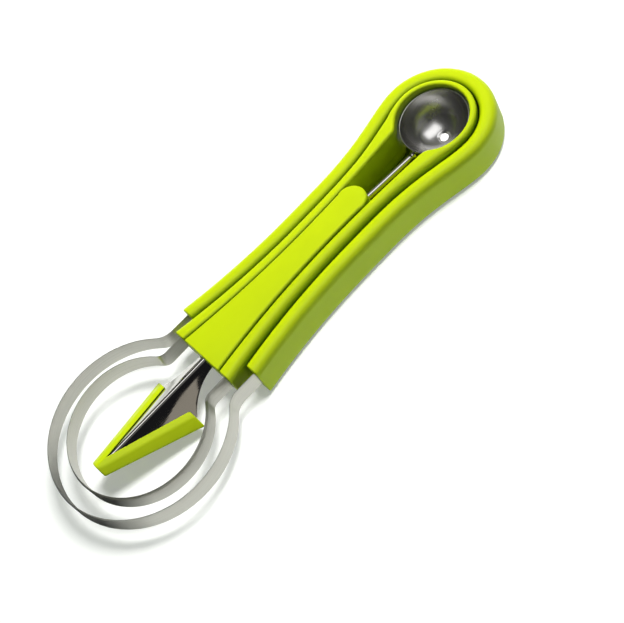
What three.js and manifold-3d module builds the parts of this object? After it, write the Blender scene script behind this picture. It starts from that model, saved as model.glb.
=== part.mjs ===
// Fruit scoop: a nested set of three kitchen tools lying on its back.
// A large loop scoop holds a small loop scoop, which holds a carver with a V blade at one end
// and a melon baller at the other. A push-on guard covers the blade's two cutting edges.
// Millimetres. X runs across, Y from the loops to the head, Z up through the front face.
// The origin is at the middle of the set's outline, on the plane of its back.

import * as THREE from 'three';
import { mergeVertices } from 'three/addons/utils/BufferGeometryUtils.js';
import Module from 'manifold-3d';

const wasm = await Module();
wasm.setup();

// Large scoop: hairpin handle
const headSpan = 166.3; // loop centre to head centre
const headRadius = 25.5;
const waistSpan = 101.6; // loop centre to the narrowest place
const waistHalf = 18.9;
const largeEndSpan = 45.0; // loop centre to the leg ends
const largeEndHalf = 24.0;
const largeWall = 7.0;
const largeDepth = 17.2;
const largeOuterRound = 4.2;
const largeInnerRound = 2.0;
const largeBackRound = 3.0;
const largeLedgeHeight = 6.2; // step that carries the small handle
const largeWindowHalf = 9.1; // open back between the steps
const ledgeSetback = 0.8; // small handle's inner wall to the step's edge below it
const legEndRound = 0.6; // rounding of both handles' leg ends

// Small scoop: hairpin handle with a keyhole for the baller
const nestGap = 0.6; // running gap between the two handles
const seatGap = 0.3; // gap at faces that rest on each other
const smallEndSpan = 36.4;
const smallEndHalf = 17.8;
const smallEndWall = 6.6;
const smallLegWall = 5.1; // at the narrowest place
const smallHeadWall = 2.6;
const smallDepth = 11.9;
const smallOuterRound = 2.4;
const smallInnerRound = 1.8;
const smallBackRound = 1.2;
const keyholeNeckHalf = 8.3;
const keyholeBlend = 4.8;
const shelfWidth = 1.6; // lip under the carver's grip
const shelfThickness = 1.5;

// Carver: grip
const gripGap = 0.3;
const stemReveal = 24.8; // from the grip's round end to the bowl's rim
const gripHeight = 10.0;
const gripRound = 1.1;
const gripCrown = 0.7; // rise of the front face at its middle

// Cutting loops
const stripThickness = 0.8;
const stripWidth = 8.0;
const largeLoopRadius = 38.5;
const largeLoopHeight = 7.5; // back plane to the strip's lower edge, at the loop's centre
const largeTangHalf = 21.2;
const largeNeckBend = 8.0;
const largeLoopRise = 1.5; // degrees that the strip rises towards its far end
const smallLoopRadius = 29.8;
const smallLoopHeight = 8.8;
const smallTangHalf = 14.3;
const smallNeckBend = 4.4;
const smallLoopRise = 0;
const tangDepth = 12.0; // length moulded into each leg
const tangHoleDepth = 7.0; // leg end to the hole that the plastic flows through
const tangHoleRadius = 1.7;
const fitGap = 0.3; // gap round an inserted piece

// Carving blade, folded from one sheet
const bladeSlope = 40; // degrees that each wing falls from the ridge
const bladeThickness = 0.8;
const bladeRidgeHeight = 15.3;
const bladeTipSpan = 20.3; // loop centre to the tip, away from the handle
const bladeCornerSpan = 18.6; // loop centre to the wing corners, towards the handle
const bladeCornerReach = 13.9; // ridge to wing corner, along the wing
const bladeShankReach = 4.8;
const bladeFlareReach = 6.0; // pull of the hollow flare between shank and corner
const bladeFlareSpan = 25.5;
const bladeTangDepth = 15.0;

// Blade guard
const guardAbove = 1.8; // middle of the blade's sheet to the guard's front face
const guardBelow = 1.4;
const guardGap = 0.2; // gap round the blade in the guard's slot
const guardChamferWidth = 2.4; // along the inner front edges
const guardChamferDrop = 0.8;
const guardRidgeFlat = 2.0; // width of the flat along its ridge
const guardGrip = 1.8; // depth of the slot over the cutting edge
const guardLip = 3.3; // front lip inside the cutting edge, at the arm's end
const guardCover = 4.4; // width beyond the cutting edge
const guardEndSpan = 18.2;
const guardTipSpan = 21.6;

// Baller
const bowlGap = 0.5; // between the rim and the keyhole
const bowlDepth = 12.4;
const bowlWall = 0.7;
const bowlHoleRadius = 1.75;
const bowlRimHeight = 14.9;
const bowlTilt = 5; // degrees, towards the grip
const stemRadius = 1.5;
const stemSlope = 5.5; // degrees that the stem falls towards the bowl
const stemHeight = 11.3; // height of its axis where it leaves the grip
const stemTangDepth = 24.0;

// Modelling values
const overrun = 2.0; // extra length of a cutting tool
const legSteps = 9;
const neckSteps = 16;
const headSteps = 22;
const roundSteps = 3;
const loopSteps = 72;
const bendSteps = 6;
const bowlSteps = 44;
const bowlArcSteps = 9;
const stemSteps = 20;

// Places that follow from the sizes
const length = largeLoopRadius + headSpan + headRadius;
const loopY = largeLoopRadius - length / 2;
const headY = loopY + headSpan;
const waistY = loopY + waistSpan;
const largeEndY = loopY + largeEndSpan;
const smallEndY = loopY + smallEndSpan;
const smallBackZ = largeLedgeHeight + seatGap;
const smallFrontZ = smallBackZ + smallDepth;
const gripBackZ = smallBackZ + shelfThickness + seatGap;
const smallHeadRadius = headRadius - largeWall - nestGap;
const smallWaistHalf = waistHalf - largeWall - nestGap;
const holeRadius = smallHeadRadius - smallHeadWall;
const bowlRimRadius = holeRadius - bowlGap;
const gripTopY = headY - bowlRimRadius - stemReveal;
const bladeAngle = THREE.MathUtils.degToRad(bladeSlope);
const edgeSlope = bladeCornerReach / (bladeCornerSpan + bladeTipSpan);
const edgeStretch = Math.hypot(1, edgeSlope);
const pegRadius = tangHoleRadius - fitGap;

// Finishes
const limePlastic = new THREE.MeshStandardMaterial({ color: 0xc3dc1e, roughness: 0.42, metalness: 0 });
const paleLime = new THREE.MeshStandardMaterial({ color: 0xcde22f, roughness: 0.42, metalness: 0 });
const satinSteel = new THREE.MeshStandardMaterial({ color: 0xb9b8b2, roughness: 0.35, metalness: 1 });
const polishedSteel = new THREE.MeshStandardMaterial({ color: 0xc9c9c7, roughness: 0.15, metalness: 1 });

const fruitScoop = new THREE.Group();

// Booleans
function solid(geometry) {
  const bare = geometry.index ? geometry.toNonIndexed() : geometry.clone();
  bare.deleteAttribute('normal');
  bare.deleteAttribute('uv');
  const merged = mergeVertices(bare, stripThickness / 1e4);
  const mesh = new wasm.Mesh({
    numProp: 3,
    vertProperties: new Float32Array(merged.attributes.position.array),
    triVerts: new Uint32Array(merged.index.array),
  });
  return new wasm.Manifold(mesh);
}

function geometryOf(manifold) {
  const mesh = manifold.getMesh();
  const geometry = new THREE.BufferGeometry();
  geometry.setAttribute('position', new THREE.BufferAttribute(mesh.vertProperties, mesh.numProp));
  geometry.setIndex(new THREE.BufferAttribute(mesh.triVerts, 1));
  geometry.computeVertexNormals();
  return geometry;
}

function addPiece(name, manifold, material) {
  const mesh = new THREE.Mesh(geometryOf(manifold), material);
  mesh.name = name;
  fruitScoop.add(mesh);
}

// Prism of an outline between two heights
function prism(points, lowZ, highZ) {
  const geometry = new THREE.ExtrudeGeometry(new THREE.Shape(points), {
    depth: highZ - lowZ,
    bevelEnabled: false,
  });
  geometry.translate(0, 0, lowZ);
  return solid(geometry);
}

// Half width of a hairpin outline: a parabola below the waist, a late sweep out to the head above it
function outlineHalf(y, endY, endHalf, narrowHalf, topHalf) {
  if (y < waistY) {
    const below = (waistY - y) / (waistY - endY);
    return narrowHalf + (endHalf - narrowHalf) * below ** 2;
  }
  const above = Math.min(1, (y - waistY) / (headY - waistY)) ** 2;
  return narrowHalf + (topHalf - narrowHalf) * THREE.MathUtils.smoothstep(above, 0, 1);
}

const largeOuterHalf = (y) => outlineHalf(y, largeEndY, largeEndHalf, waistHalf, headRadius);
const largeInnerHalf = (y) => largeOuterHalf(y) - largeWall;
const smallOuterHalf = (y) => outlineHalf(y, smallEndY, smallEndHalf, smallWaistHalf, smallHeadRadius);

// Where a straight line runs into a circle through a reverse bend
function neckAngle(radius, half, bend) {
  return Math.acos((half + bend) / (radius + bend));
}

// Keyhole of the small handle: legs that open slightly, a reverse bend, then the round hole
const keyholeAngle = neckAngle(holeRadius, keyholeNeckHalf, keyholeBlend);
const keyholeBendY = headY - (holeRadius + keyholeBlend) * Math.sin(keyholeAngle);
const keyholeJoinY = headY - holeRadius * Math.sin(keyholeAngle);

function smallInnerHalf(y) {
  const narrow = smallWaistHalf - smallLegWall;
  if (y < waistY) {
    return outlineHalf(y, smallEndY, smallEndHalf - smallEndWall, narrow, narrow);
  }
  if (y < keyholeBendY) {
    return narrow + (keyholeNeckHalf - narrow) * ((y - waistY) / (keyholeBendY - waistY)) ** 2;
  }
  if (y < keyholeJoinY) {
    const rise = y - keyholeBendY;
    return keyholeNeckHalf + keyholeBlend - Math.sqrt(keyholeBlend ** 2 - rise ** 2);
  }
  return Math.sqrt(holeRadius ** 2 - Math.min(0, y - headY) ** 2);
}

const gripHalf = (y) => smallInnerHalf(y) - gripGap;
const largeLedgeHalf = (y) => Math.max(largeWindowHalf, smallInnerHalf(y) + ledgeSetback);

// Arc from one angle to another, in degrees
function arcPoints(x, y, radius, fromDegrees, toDegrees, steps) {
  return Array.from({ length: steps + 1 }, (_, i) => {
    const angle = THREE.MathUtils.degToRad(fromDegrees + ((toDegrees - fromDegrees) * i) / steps);
    return new THREE.Vector2(x + radius * Math.cos(angle), y + radius * Math.sin(angle));
  });
}

// Section of a hairpin wall, drawn in by an inset at the rounded leg ends:
// x runs from the outer face inwards, y is the height. A ledge stands out at the foot of the inner face.
function wallSection(wall, ledge, spec, inset) {
  const limit = wall / 2;
  const [outer, inner, back] = [spec.outerRound, spec.innerRound, spec.backRound]
    .map((round) => Math.min(round, limit) - inset);
  const lowZ = spec.backZ + inset;
  const highZ = spec.frontZ - inset;
  const farX = wall - inset;
  const points = arcPoints(inset + back, lowZ + back, back, 180, 270, roundSteps);
  points.push(new THREE.Vector2(farX + ledge, lowZ));
  if (ledge > 0) {
    points.push(new THREE.Vector2(farX + ledge, spec.ledgeZ - inset));
    points.push(new THREE.Vector2(farX, spec.ledgeZ - inset));
  }
  points.push(...arcPoints(farX - inner, highZ - inner, inner, 0, 90, roundSteps));
  points.push(...arcPoints(inset + outer, highZ - outer, outer, 90, 180, roundSteps));
  return points;
}

// Skin over a row of rings of equal count, with both ends closed
function loft(rings, section) {
  const count = section.length;
  const positions = rings.flat().flatMap((point) => [point.x, point.y, point.z]);
  const indices = [];
  for (let ring = 0; ring < rings.length - 1; ring += 1) {
    for (let i = 0; i < count; i += 1) {
      const a = ring * count + i;
      const b = ring * count + ((i + 1) % count);
      indices.push(a, b, a + count, b, b + count, a + count);
    }
  }
  const last = (rings.length - 1) * count;
  for (const [a, b, c] of THREE.ShapeUtils.triangulateShape(section, [])) {
    indices.push(a, c, b, last + a, last + b, last + c);
  }
  const geometry = new THREE.BufferGeometry();
  geometry.setAttribute('position', new THREE.Float32BufferAttribute(positions, 3));
  geometry.setIndex(indices);
  return solid(geometry);
}

// Places along a leg where its outline needs a ring, with the inset there
function legStations(endY) {
  const stations = arcPoints(legEndRound, 0, legEndRound, 180, 90, roundSteps)
    .map((point) => ({ y: endY + point.x, inset: legEndRound - point.y }));
  const startY = endY + legEndRound;
  for (let i = 1; i < legSteps; i += 1) {
    stations.push({ y: startY + ((waistY - startY) * i) / legSteps, inset: 0 });
  }
  for (let i = 0; i < neckSteps; i += 1) {
    const share = Math.sin((i / neckSteps) * (Math.PI / 2));
    stations.push({ y: waistY + (headY - waistY) * share, inset: 0 });
  }
  return stations;
}

// Hairpin: the section runs up the right leg, round the head and down the left leg
function hairpin(spec) {
  const { endY, outerHalf, innerHalf, ledgeHalf } = spec;
  const sectionAt = (y, inset) => {
    const wall = outerHalf(y) - innerHalf(y);
    return wallSection(wall, innerHalf(y) - ledgeHalf(y), spec, inset);
  };
  const legRing = ({ y, inset }, side) => sectionAt(y, inset)
    .map((point) => new THREE.Vector3(side * (outerHalf(y) - point.x), y, point.y));
  const headRing = (angle) => sectionAt(headY, 0).map((point) => {
    const radius = outerHalf(headY) - point.x;
    return new THREE.Vector3(radius * Math.cos(angle), headY + radius * Math.sin(angle), point.y);
  });
  const stations = legStations(endY);
  const rings = stations.map((station) => legRing(station, 1));
  for (let i = 0; i <= headSteps; i += 1) {
    rings.push(headRing((Math.PI * i) / headSteps));
  }
  rings.push(...stations.reverse().map((station) => legRing(station, -1)));
  return loft(rings, sectionAt(endY, legEndRound));
}

// Centre line of a loop strip: right tang, neck, circle, neck, left tang
function stripLine(radius, tangHalf, bend, outerHalf, endY, depth) {
  const middle = radius - stripThickness / 2;
  const angle = neckAngle(middle, tangHalf, bend);
  const bendY = loopY + (middle + bend) * Math.sin(angle);
  const inset = outerHalf(endY) - tangHalf;
  const right = [];
  for (let i = 0; i < bendSteps; i += 1) {
    const y = endY + depth * (1 - i / bendSteps);
    right.push(new THREE.Vector2(outerHalf(y) - inset, y));
  }
  right.push(new THREE.Vector2(tangHalf, endY));
  for (let i = 0; i < bendSteps; i += 1) {
    const turn = Math.PI + (angle * i) / bendSteps;
    right.push(new THREE.Vector2(tangHalf + bend + bend * Math.cos(turn), bendY + bend * Math.sin(turn)));
  }
  for (let i = 0; i <= loopSteps / 2; i += 1) {
    const turn = angle - ((angle + Math.PI / 2) * i * 2) / loopSteps;
    right.push(new THREE.Vector2(middle * Math.cos(turn), loopY + middle * Math.sin(turn)));
  }
  const left = right.slice(0, -1).reverse().map((point) => new THREE.Vector2(-point.x, point.y));
  return [...right, ...left];
}

// Outline of a strip of even thickness along a line
function ribbon(line, thickness) {
  const sides = [1, -1].map((side) => line.map((point, i) => {
    const before = line[Math.max(0, i - 1)];
    const after = line[Math.min(line.length - 1, i + 1)];
    const along = after.clone().sub(before).normalize();
    return new THREE.Vector2(-along.y, along.x).multiplyScalar((side * thickness) / 2).add(point);
  }));
  return [...sides[0], ...sides[1].reverse()];
}

// Round bar across the set, at the tangs' holes
function crossBar(outerHalf, endY, tangHalf, radius, reach, height) {
  const y = endY + tangHoleDepth;
  const x = outerHalf(y) - outerHalf(endY) + tangHalf;
  return [1, -1].map((side) => {
    const geometry = new THREE.CylinderGeometry(radius, radius, reach, stemSteps);
    geometry.rotateZ(Math.PI / 2);
    geometry.translate(side * x, y, height);
    return solid(geometry);
  });
}

// Scoop: a hairpin handle, and the loop strip whose tangs are moulded into its legs.
// Plastic runs through a hole in each tang and keys it.
function scoop(spec) {
  const { endY, outerHalf, tangHalf, loopHeight } = spec;
  const risen = (manifold) => manifold
    .translate([0, -loopY, -loopHeight])
    .rotate([-spec.loopRise, 0, 0])
    .translate([0, loopY, loopHeight]);
  const line = (depth) => stripLine(spec.loopRadius, tangHalf, spec.neckBend, outerHalf, endY, depth);
  const slot = prism(
    ribbon(line(tangDepth + fitGap), stripThickness + 2 * fitGap),
    loopHeight - fitGap,
    loopHeight + stripWidth + fitGap,
  );
  const middle = loopHeight + stripWidth / 2;
  const pegReach = stripThickness + 4 * fitGap;
  const bars = (radius) => crossBar(outerHalf, endY, tangHalf, radius, pegReach, middle).map(risen);
  const strip = prism(ribbon(line(tangDepth), stripThickness), loopHeight, loopHeight + stripWidth);
  const keyed = hairpin(spec).subtract(risen(slot));
  return {
    handle: bars(pegRadius).reduce((whole, peg) => whole.add(peg), keyed),
    loop: bars(tangHoleRadius).reduce((whole, hole) => whole.subtract(hole), risen(strip)),
  };
}

const largeScoop = scoop({
  endY: largeEndY,
  outerHalf: largeOuterHalf,
  innerHalf: largeInnerHalf,
  backZ: 0,
  frontZ: largeDepth,
  outerRound: largeOuterRound,
  innerRound: largeInnerRound,
  backRound: largeBackRound,
  ledgeHalf: largeLedgeHalf,
  ledgeZ: largeLedgeHeight,
  loopRadius: largeLoopRadius,
  loopHeight: largeLoopHeight,
  tangHalf: largeTangHalf,
  neckBend: largeNeckBend,
  loopRise: largeLoopRise,
});
addPiece('large_handle', largeScoop.handle, limePlastic);
addPiece('large_loop', largeScoop.loop, satinSteel);

const smallScoop = scoop({
  endY: smallEndY,
  outerHalf: smallOuterHalf,
  innerHalf: smallInnerHalf,
  backZ: smallBackZ,
  frontZ: smallFrontZ,
  outerRound: smallOuterRound,
  innerRound: smallInnerRound,
  backRound: smallBackRound,
  ledgeHalf: smallInnerHalf,
  ledgeZ: smallBackZ,
  loopRadius: smallLoopRadius,
  loopHeight: smallLoopHeight,
  tangHalf: smallTangHalf,
  neckBend: smallNeckBend,
  loopRise: smallLoopRise,
});

// Lip along the inside of one leg, under the grip
function shelf(side) {
  const steps = legSteps * 2;
  const startY = smallEndY + legEndRound;
  const topY = gripTopY - shelfWidth;
  const stations = Array.from({ length: steps + 1 }, (_, i) => startY + ((topY - startY) * i) / steps);
  const inside = stations.map((y) => new THREE.Vector2(side * (smallInnerHalf(y) - shelfWidth), y));
  const outside = stations.map((y) => new THREE.Vector2(side * (smallInnerHalf(y) + shelfWidth), y));
  return prism([...inside, ...outside.reverse()], smallBackZ, smallBackZ + shelfThickness);
}

addPiece('small_handle', smallScoop.handle.add(shelf(1)).add(shelf(-1)), paleLime);
addPiece('small_loop', smallScoop.loop, satinSteel);

// Mirror image in the plane X = 0, with its faces still pointing out
function mirrored(geometry) {
  const image = geometry.index ? geometry.toNonIndexed() : geometry.clone();
  image.scale(-1, 1, 1);
  const { array } = image.attributes.position;
  for (let i = 0; i < array.length; i += 9) {
    for (let k = 0; k < 3; k += 1) {
      [array[i + 3 + k], array[i + 6 + k]] = [array[i + 6 + k], array[i + 3 + k]];
    }
  }
  return image;
}

// Both wings of a folded form. One is drawn flat, X being the reach from the ridge,
// then tipped down about the ridge and mirrored.
function wings(geometry) {
  geometry.rotateY(bladeAngle);
  geometry.translate(0, 0, bladeRidgeHeight);
  return [solid(geometry), solid(mirrored(geometry))];
}

function plate(points, below, above) {
  const geometry = new THREE.ExtrudeGeometry(new THREE.Shape(points), {
    depth: below + above,
    bevelEnabled: false,
  });
  geometry.translate(0, 0, -below);
  return geometry;
}

const foldOverlap = (above) => -above * Math.tan(bladeAngle);
const bladeTipY = loopY - bladeTipSpan;
const bladeCornerY = loopY + bladeCornerSpan;
const bladeFlareY = loopY + bladeFlareSpan;
const edgeReach = (y, offset) => (y - bladeTipY) * edgeSlope + offset * edgeStretch;
const edgeY = (reach, offset) => bladeTipY + (reach - offset * edgeStretch) / edgeSlope;

// Blade: straight shank, hollow flare to the corner, oblique cutting edge
function foldedBlade(grow, topY) {
  const half = bladeThickness / 2 + grow;
  const fold = foldOverlap(half);
  const outline = new THREE.Path();
  outline.moveTo(fold, edgeY(fold, grow));
  outline.lineTo(edgeReach(bladeCornerY, grow), bladeCornerY);
  outline.quadraticCurveTo(bladeFlareReach + grow, bladeFlareY, bladeShankReach + grow, smallEndY);
  outline.lineTo(bladeShankReach + grow, topY);
  outline.lineTo(fold, topY);
  const [right, left] = wings(plate(outline.getPoints(bendSteps * 2), half, half));
  return right.add(left);
}

// Carver grip: crowned slab with rounded rims and a round end
const gripEndRadius = gripHalf(gripTopY);
const gripCentreY = gripTopY - gripEndRadius;
const gripRight = Array.from({ length: legSteps * 2 }, (_, i) => {
  const y = smallEndY + ((gripCentreY - smallEndY) * i) / (legSteps * 2);
  return new THREE.Vector2(gripHalf(y), y);
});
const gripOutline = [
  ...gripRight,
  ...arcPoints(0, gripCentreY, gripEndRadius, 0, 180, headSteps / 2),
  ...gripRight.map((point) => new THREE.Vector2(-point.x, point.y)).reverse(),
];
const gripEndHalf = gripHalf(smallEndY);
const crownRadius = (gripEndHalf ** 2 + gripCrown ** 2) / (2 * gripCrown);
const gripFrontZ = gripBackZ + gripHeight;

function gripSlab() {
  const geometry = new THREE.ExtrudeGeometry(new THREE.Shape(gripOutline), {
    depth: gripHeight + gripCrown - 2 * gripRound,
    bevelEnabled: true,
    bevelThickness: gripRound,
    bevelSize: gripRound,
    bevelOffset: -gripRound,
    bevelSegments: roundSteps,
  });
  geometry.translate(0, 0, gripBackZ + gripRound);
  return solid(geometry);
}

function crownCutter() {
  const reach = gripTopY - smallEndY + 2 * overrun;
  const geometry = new THREE.CylinderGeometry(crownRadius, crownRadius, reach, loopSteps);
  geometry.translate(0, (gripTopY + smallEndY) / 2, 0);
  geometry.translate(0, 0, gripFrontZ + gripCrown - crownRadius);
  return solid(geometry);
}

// Stem of the baller, from inside the grip to the bowl
const stemAngle = THREE.MathUtils.degToRad(stemSlope);

function stemRod(radius, backLength, forwardLength) {
  const geometry = new THREE.CylinderGeometry(radius, radius, backLength + forwardLength, stemSteps);
  geometry.translate(0, (forwardLength - backLength) / 2, 0);
  geometry.rotateX(-stemAngle);
  geometry.translate(0, gripTopY, stemHeight);
  return solid(geometry);
}

// Bowl: spherical cup with an open hole at its bottom
const bowlInnerRim = bowlRimRadius - bowlWall;
const bowlRadius = (bowlInnerRim ** 2 + bowlDepth ** 2) / (2 * bowlDepth);
const bowlCentreRise = bowlRadius - bowlDepth;

function placeBowl(geometry) {
  geometry.rotateX(Math.PI / 2 + THREE.MathUtils.degToRad(bowlTilt));
  geometry.translate(0, headY, bowlRimHeight);
  return solid(geometry);
}

function bowlArc(radius) {
  const from = Math.asin(bowlHoleRadius / radius);
  const to = Math.acos(bowlCentreRise / radius);
  return Array.from({ length: bowlArcSteps + 1 }, (_, i) => {
    const angle = from + ((to - from) * i) / bowlArcSteps;
    return new THREE.Vector2(radius * Math.sin(angle), bowlCentreRise - radius * Math.cos(angle));
  });
}

function bowlCup() {
  const inside = bowlArc(bowlRadius);
  const outside = bowlArc(bowlRadius + bowlWall).reverse();
  const profile = [...inside, ...outside, inside[0].clone()].reverse();
  return placeBowl(new THREE.LatheGeometry(profile, bowlSteps));
}

function bowlBall(radius) {
  const geometry = new THREE.SphereGeometry(radius, bowlSteps, bowlSteps / 2);
  geometry.translate(0, bowlCentreRise, 0);
  return placeBowl(geometry);
}

// Carver
addPiece(
  'core_grip',
  gripSlab()
    .intersect(crownCutter())
    .subtract(foldedBlade(fitGap, smallEndY + bladeTangDepth + fitGap))
    .subtract(stemRod(stemRadius + fitGap, stemTangDepth + fitGap, overrun)),
  limePlastic,
);
addPiece('carving_blade', foldedBlade(0, smallEndY + bladeTangDepth), polishedSteel);
addPiece(
  'baller_stem',
  stemRod(stemRadius, stemTangDepth, headY - gripTopY)
    .subtract(bowlBall(bowlRadius + bowlWall + fitGap)),
  polishedSteel,
);
addPiece('baller_bowl', bowlCup(), polishedSteel);

// Blade guard: two slotted arms along the cutting edges, joined in a blunt tip
const guardEndY = loopY + guardEndSpan;
const guardTipY = loopY - guardTipSpan;

const guardFold = foldOverlap(guardAbove);
const lipEnd = new THREE.Vector2(edgeReach(guardEndY, -guardLip), guardEndY);
const lipStart = new THREE.Vector2(guardFold, edgeY(guardFold, -guardGrip));

// One layer of both arms, drawn flat, with the ends of its inner edge
function guardLayer(fold, innerEnd, innerStart, below, above) {
  return wings(plate([
    new THREE.Vector2(fold, guardTipY),
    new THREE.Vector2(edgeReach(guardTipY, guardCover), guardTipY),
    new THREE.Vector2(edgeReach(guardEndY, guardCover), guardEndY),
    innerEnd,
    innerStart,
  ], below, above));
}

function guardArms() {
  const backEnd = new THREE.Vector2(edgeReach(guardEndY, -guardGrip), guardEndY);
  const backStart = new THREE.Vector2(0, edgeY(0, -guardGrip));
  const front = guardLayer(guardFold, lipEnd, lipStart, 0, guardAbove);
  const back = guardLayer(0, backEnd, backStart, guardBelow, bladeThickness / 2);
  const wedges = guardChamfers();
  const sides = [1, -1];
  const arms = sides.map((side, i) => front[i]
    .subtract(wedges[i])
    .trimByPlane([side, 0, 0], 0)
    .add(back[i]));
  return arms[0].add(arms[1]);
}

// Wedge that takes off the inner front edge of an arm, running down from the arm's end
function guardChamfers() {
  const slope = guardChamferDrop / guardChamferWidth;
  const reach = guardChamferWidth + overrun;
  const wedge = new THREE.Shape([
    new THREE.Vector2(-reach, guardAbove - guardChamferDrop - reach * slope),
    new THREE.Vector2(reach, guardAbove + overrun * slope),
    new THREE.Vector2(-reach, guardAbove + overrun * slope),
  ]);
  const run = (guardEndY - guardTipY) * edgeStretch + 2 * overrun;
  const geometry = new THREE.ExtrudeGeometry(wedge, { depth: run, bevelEnabled: false });
  const along = lipEnd.clone().sub(lipStart).normalize();
  const across = new THREE.Vector3(along.y, -along.x, 0);
  const up = new THREE.Vector3(0, 0, 1);
  const down = new THREE.Vector3().crossVectors(across, up);
  geometry.translate(0, 0, -overrun);
  geometry.applyMatrix4(new THREE.Matrix4().makeBasis(across, up, down));
  geometry.translate(lipEnd.x, lipEnd.y, 0);
  return wings(geometry);
}

// Block above the flat along the guard's ridge
function ridgeCutter() {
  const peakZ = bladeRidgeHeight + guardAbove / Math.cos(bladeAngle);
  const flatZ = peakZ - (guardRidgeFlat / 2) * Math.tan(bladeAngle);
  const geometry = new THREE.BoxGeometry(
    guardRidgeFlat + 2 * overrun,
    guardEndY - guardTipY + 2 * overrun,
    overrun,
  );
  geometry.translate(0, (guardEndY + guardTipY) / 2, flatZ + overrun / 2);
  return solid(geometry);
}

addPiece(
  'blade_guard',
  guardArms()
    .subtract(ridgeCutter())
    .subtract(foldedBlade(guardGap, smallEndY)),
  paleLime,
);

export default fruitScoop;
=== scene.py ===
"""Fruit scoop: a nested set of three kitchen tools, dressed for its photograph.

A large loop scoop holds a small one, which holds a carver with a folded V blade at one end and a
melon baller at the other. A slotted guard covers the blade's cutting edges. Every mesh is built in
millimetres, with the same sizes as the solids, and becomes metres as it is finished.
"""

from __future__ import annotations

import logging
import math
from dataclasses import dataclass
from enum import Enum
from typing import Callable, Sequence

import bmesh
import bpy
from bmesh.types import BMEdge, BMesh, BMVert
from mathutils import Matrix, Vector


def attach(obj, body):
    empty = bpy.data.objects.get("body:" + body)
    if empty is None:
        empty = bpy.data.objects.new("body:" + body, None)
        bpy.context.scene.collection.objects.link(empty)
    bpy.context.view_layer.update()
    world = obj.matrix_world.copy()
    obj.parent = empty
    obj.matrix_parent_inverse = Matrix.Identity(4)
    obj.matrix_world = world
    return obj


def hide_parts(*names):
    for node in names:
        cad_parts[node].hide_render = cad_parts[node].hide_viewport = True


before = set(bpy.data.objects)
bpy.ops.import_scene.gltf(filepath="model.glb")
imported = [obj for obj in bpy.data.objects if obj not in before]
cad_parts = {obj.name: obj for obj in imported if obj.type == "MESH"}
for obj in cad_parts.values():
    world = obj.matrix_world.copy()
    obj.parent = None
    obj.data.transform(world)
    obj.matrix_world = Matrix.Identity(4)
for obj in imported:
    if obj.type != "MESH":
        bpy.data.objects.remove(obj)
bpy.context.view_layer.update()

logging.basicConfig(level=logging.INFO, format="%(levelname)s %(message)s")
log = logging.getLogger("fruit_scoop")

MM = 0.001
STITCH = 0.01  # half the width of a step in a skin that stands for a square one, in millimetres
END_STEPS = 4  # steps of a rounded end
HALVINGS = 40  # steps of a search by halves
WAVE_LENGTH = math.tau / 20  # length of one wave of a wave texture whose scale is one
UP = Vector((0, 0, 1))
WHITE = (1.0, 1.0, 1.0, 1.0)

Point2 = tuple[float, float]
Colour = tuple[float, float, float, float]


class Body(Enum):
    """Bodies that the pieces ride on."""

    LARGE_SCOOP = "large_scoop"
    SMALL_SCOOP = "small_scoop"
    CARVER = "carver"
    GUARD = "guard"


class Slot(Enum):
    """Material slots of the record."""

    HANDLE = "handle_plastic"
    GUARD = "guard_plastic"
    LOOP = "loop_steel"
    BLADE = "blade_steel"
    BOWL = "bowl_steel"


class Buffing(Enum):
    """How a polished piece was buffed, by the wave that draws the lines it leaves."""

    TURNED = "RINGS"
    DRAWN = "BANDS"


# Colour and nodes


def linear(code: str) -> Colour:
    """Turns an sRGB hex colour into a linear one.

    Args:
        code: Six hex digits, with or without a leading sign.

    Returns:
        Linear red, green, blue and an alpha of one.
    """
    digits = code.lstrip("#")
    shares = [int(digits[i : i + 2], 16) / 255 for i in (0, 2, 4)]
    red, green, blue = (
        share / 12.92 if share <= 0.04045 else ((share + 0.055) / 1.055) ** 2.4 for share in shares
    )
    return (red, green, blue, 1.0)


def add_node(
    tree: bpy.types.NodeTree,
    kind: str,
    inputs: dict[str | int, object] | None = None,
    **settings: object,
) -> bpy.types.Node:
    """Adds a node with its settings and its inputs.

    Args:
        tree: The node tree that gets the node.
        kind: Type name of the node.
        inputs: Input sockets by name or number, each with a value or a socket to link from.
        settings: Properties of the node itself.

    Returns:
        The new node.
    """
    node = tree.nodes.new(kind)
    for name, value in settings.items():
        setattr(node, name, value)
    for name, value in (inputs or {}).items():
        if isinstance(value, bpy.types.NodeSocket):
            tree.links.new(value, node.inputs[name])
        else:
            node.inputs[name].default_value = value
    return node


def new_material(name: str) -> tuple[bpy.types.Material, bpy.types.NodeTree, bpy.types.NodeSocket]:
    """Makes an empty node material.

    Args:
        name: Name of the material.

    Returns:
        The material, its node tree and the surface socket of its output.
    """
    material = bpy.data.materials.new(name)
    material.use_nodes = True
    tree = material.node_tree
    tree.nodes.clear()
    output = add_node(tree, "ShaderNodeOutputMaterial")
    return material, tree, output.inputs["Surface"]


def add_surface(
    tree: bpy.types.NodeTree,
    surface: bpy.types.NodeSocket,
    kind: str,
    inputs: dict[str | int, object],
) -> None:
    """Adds the shader that a material ends in."""
    tree.links.new(add_node(tree, kind, inputs).outputs[0], surface)


def object_place(tree: bpy.types.NodeTree) -> bpy.types.NodeSocket:
    """Place of the shaded point, in metres."""
    return add_node(tree, "ShaderNodeTexCoord").outputs["Object"]


def add_math(tree: bpy.types.NodeTree, operation: str, *values: object) -> bpy.types.NodeSocket:
    """Adds a sum of values or sockets, by its operation's name."""
    return add_node(tree, "ShaderNodeMath", dict(enumerate(values)), operation=operation).outputs[0]


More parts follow.
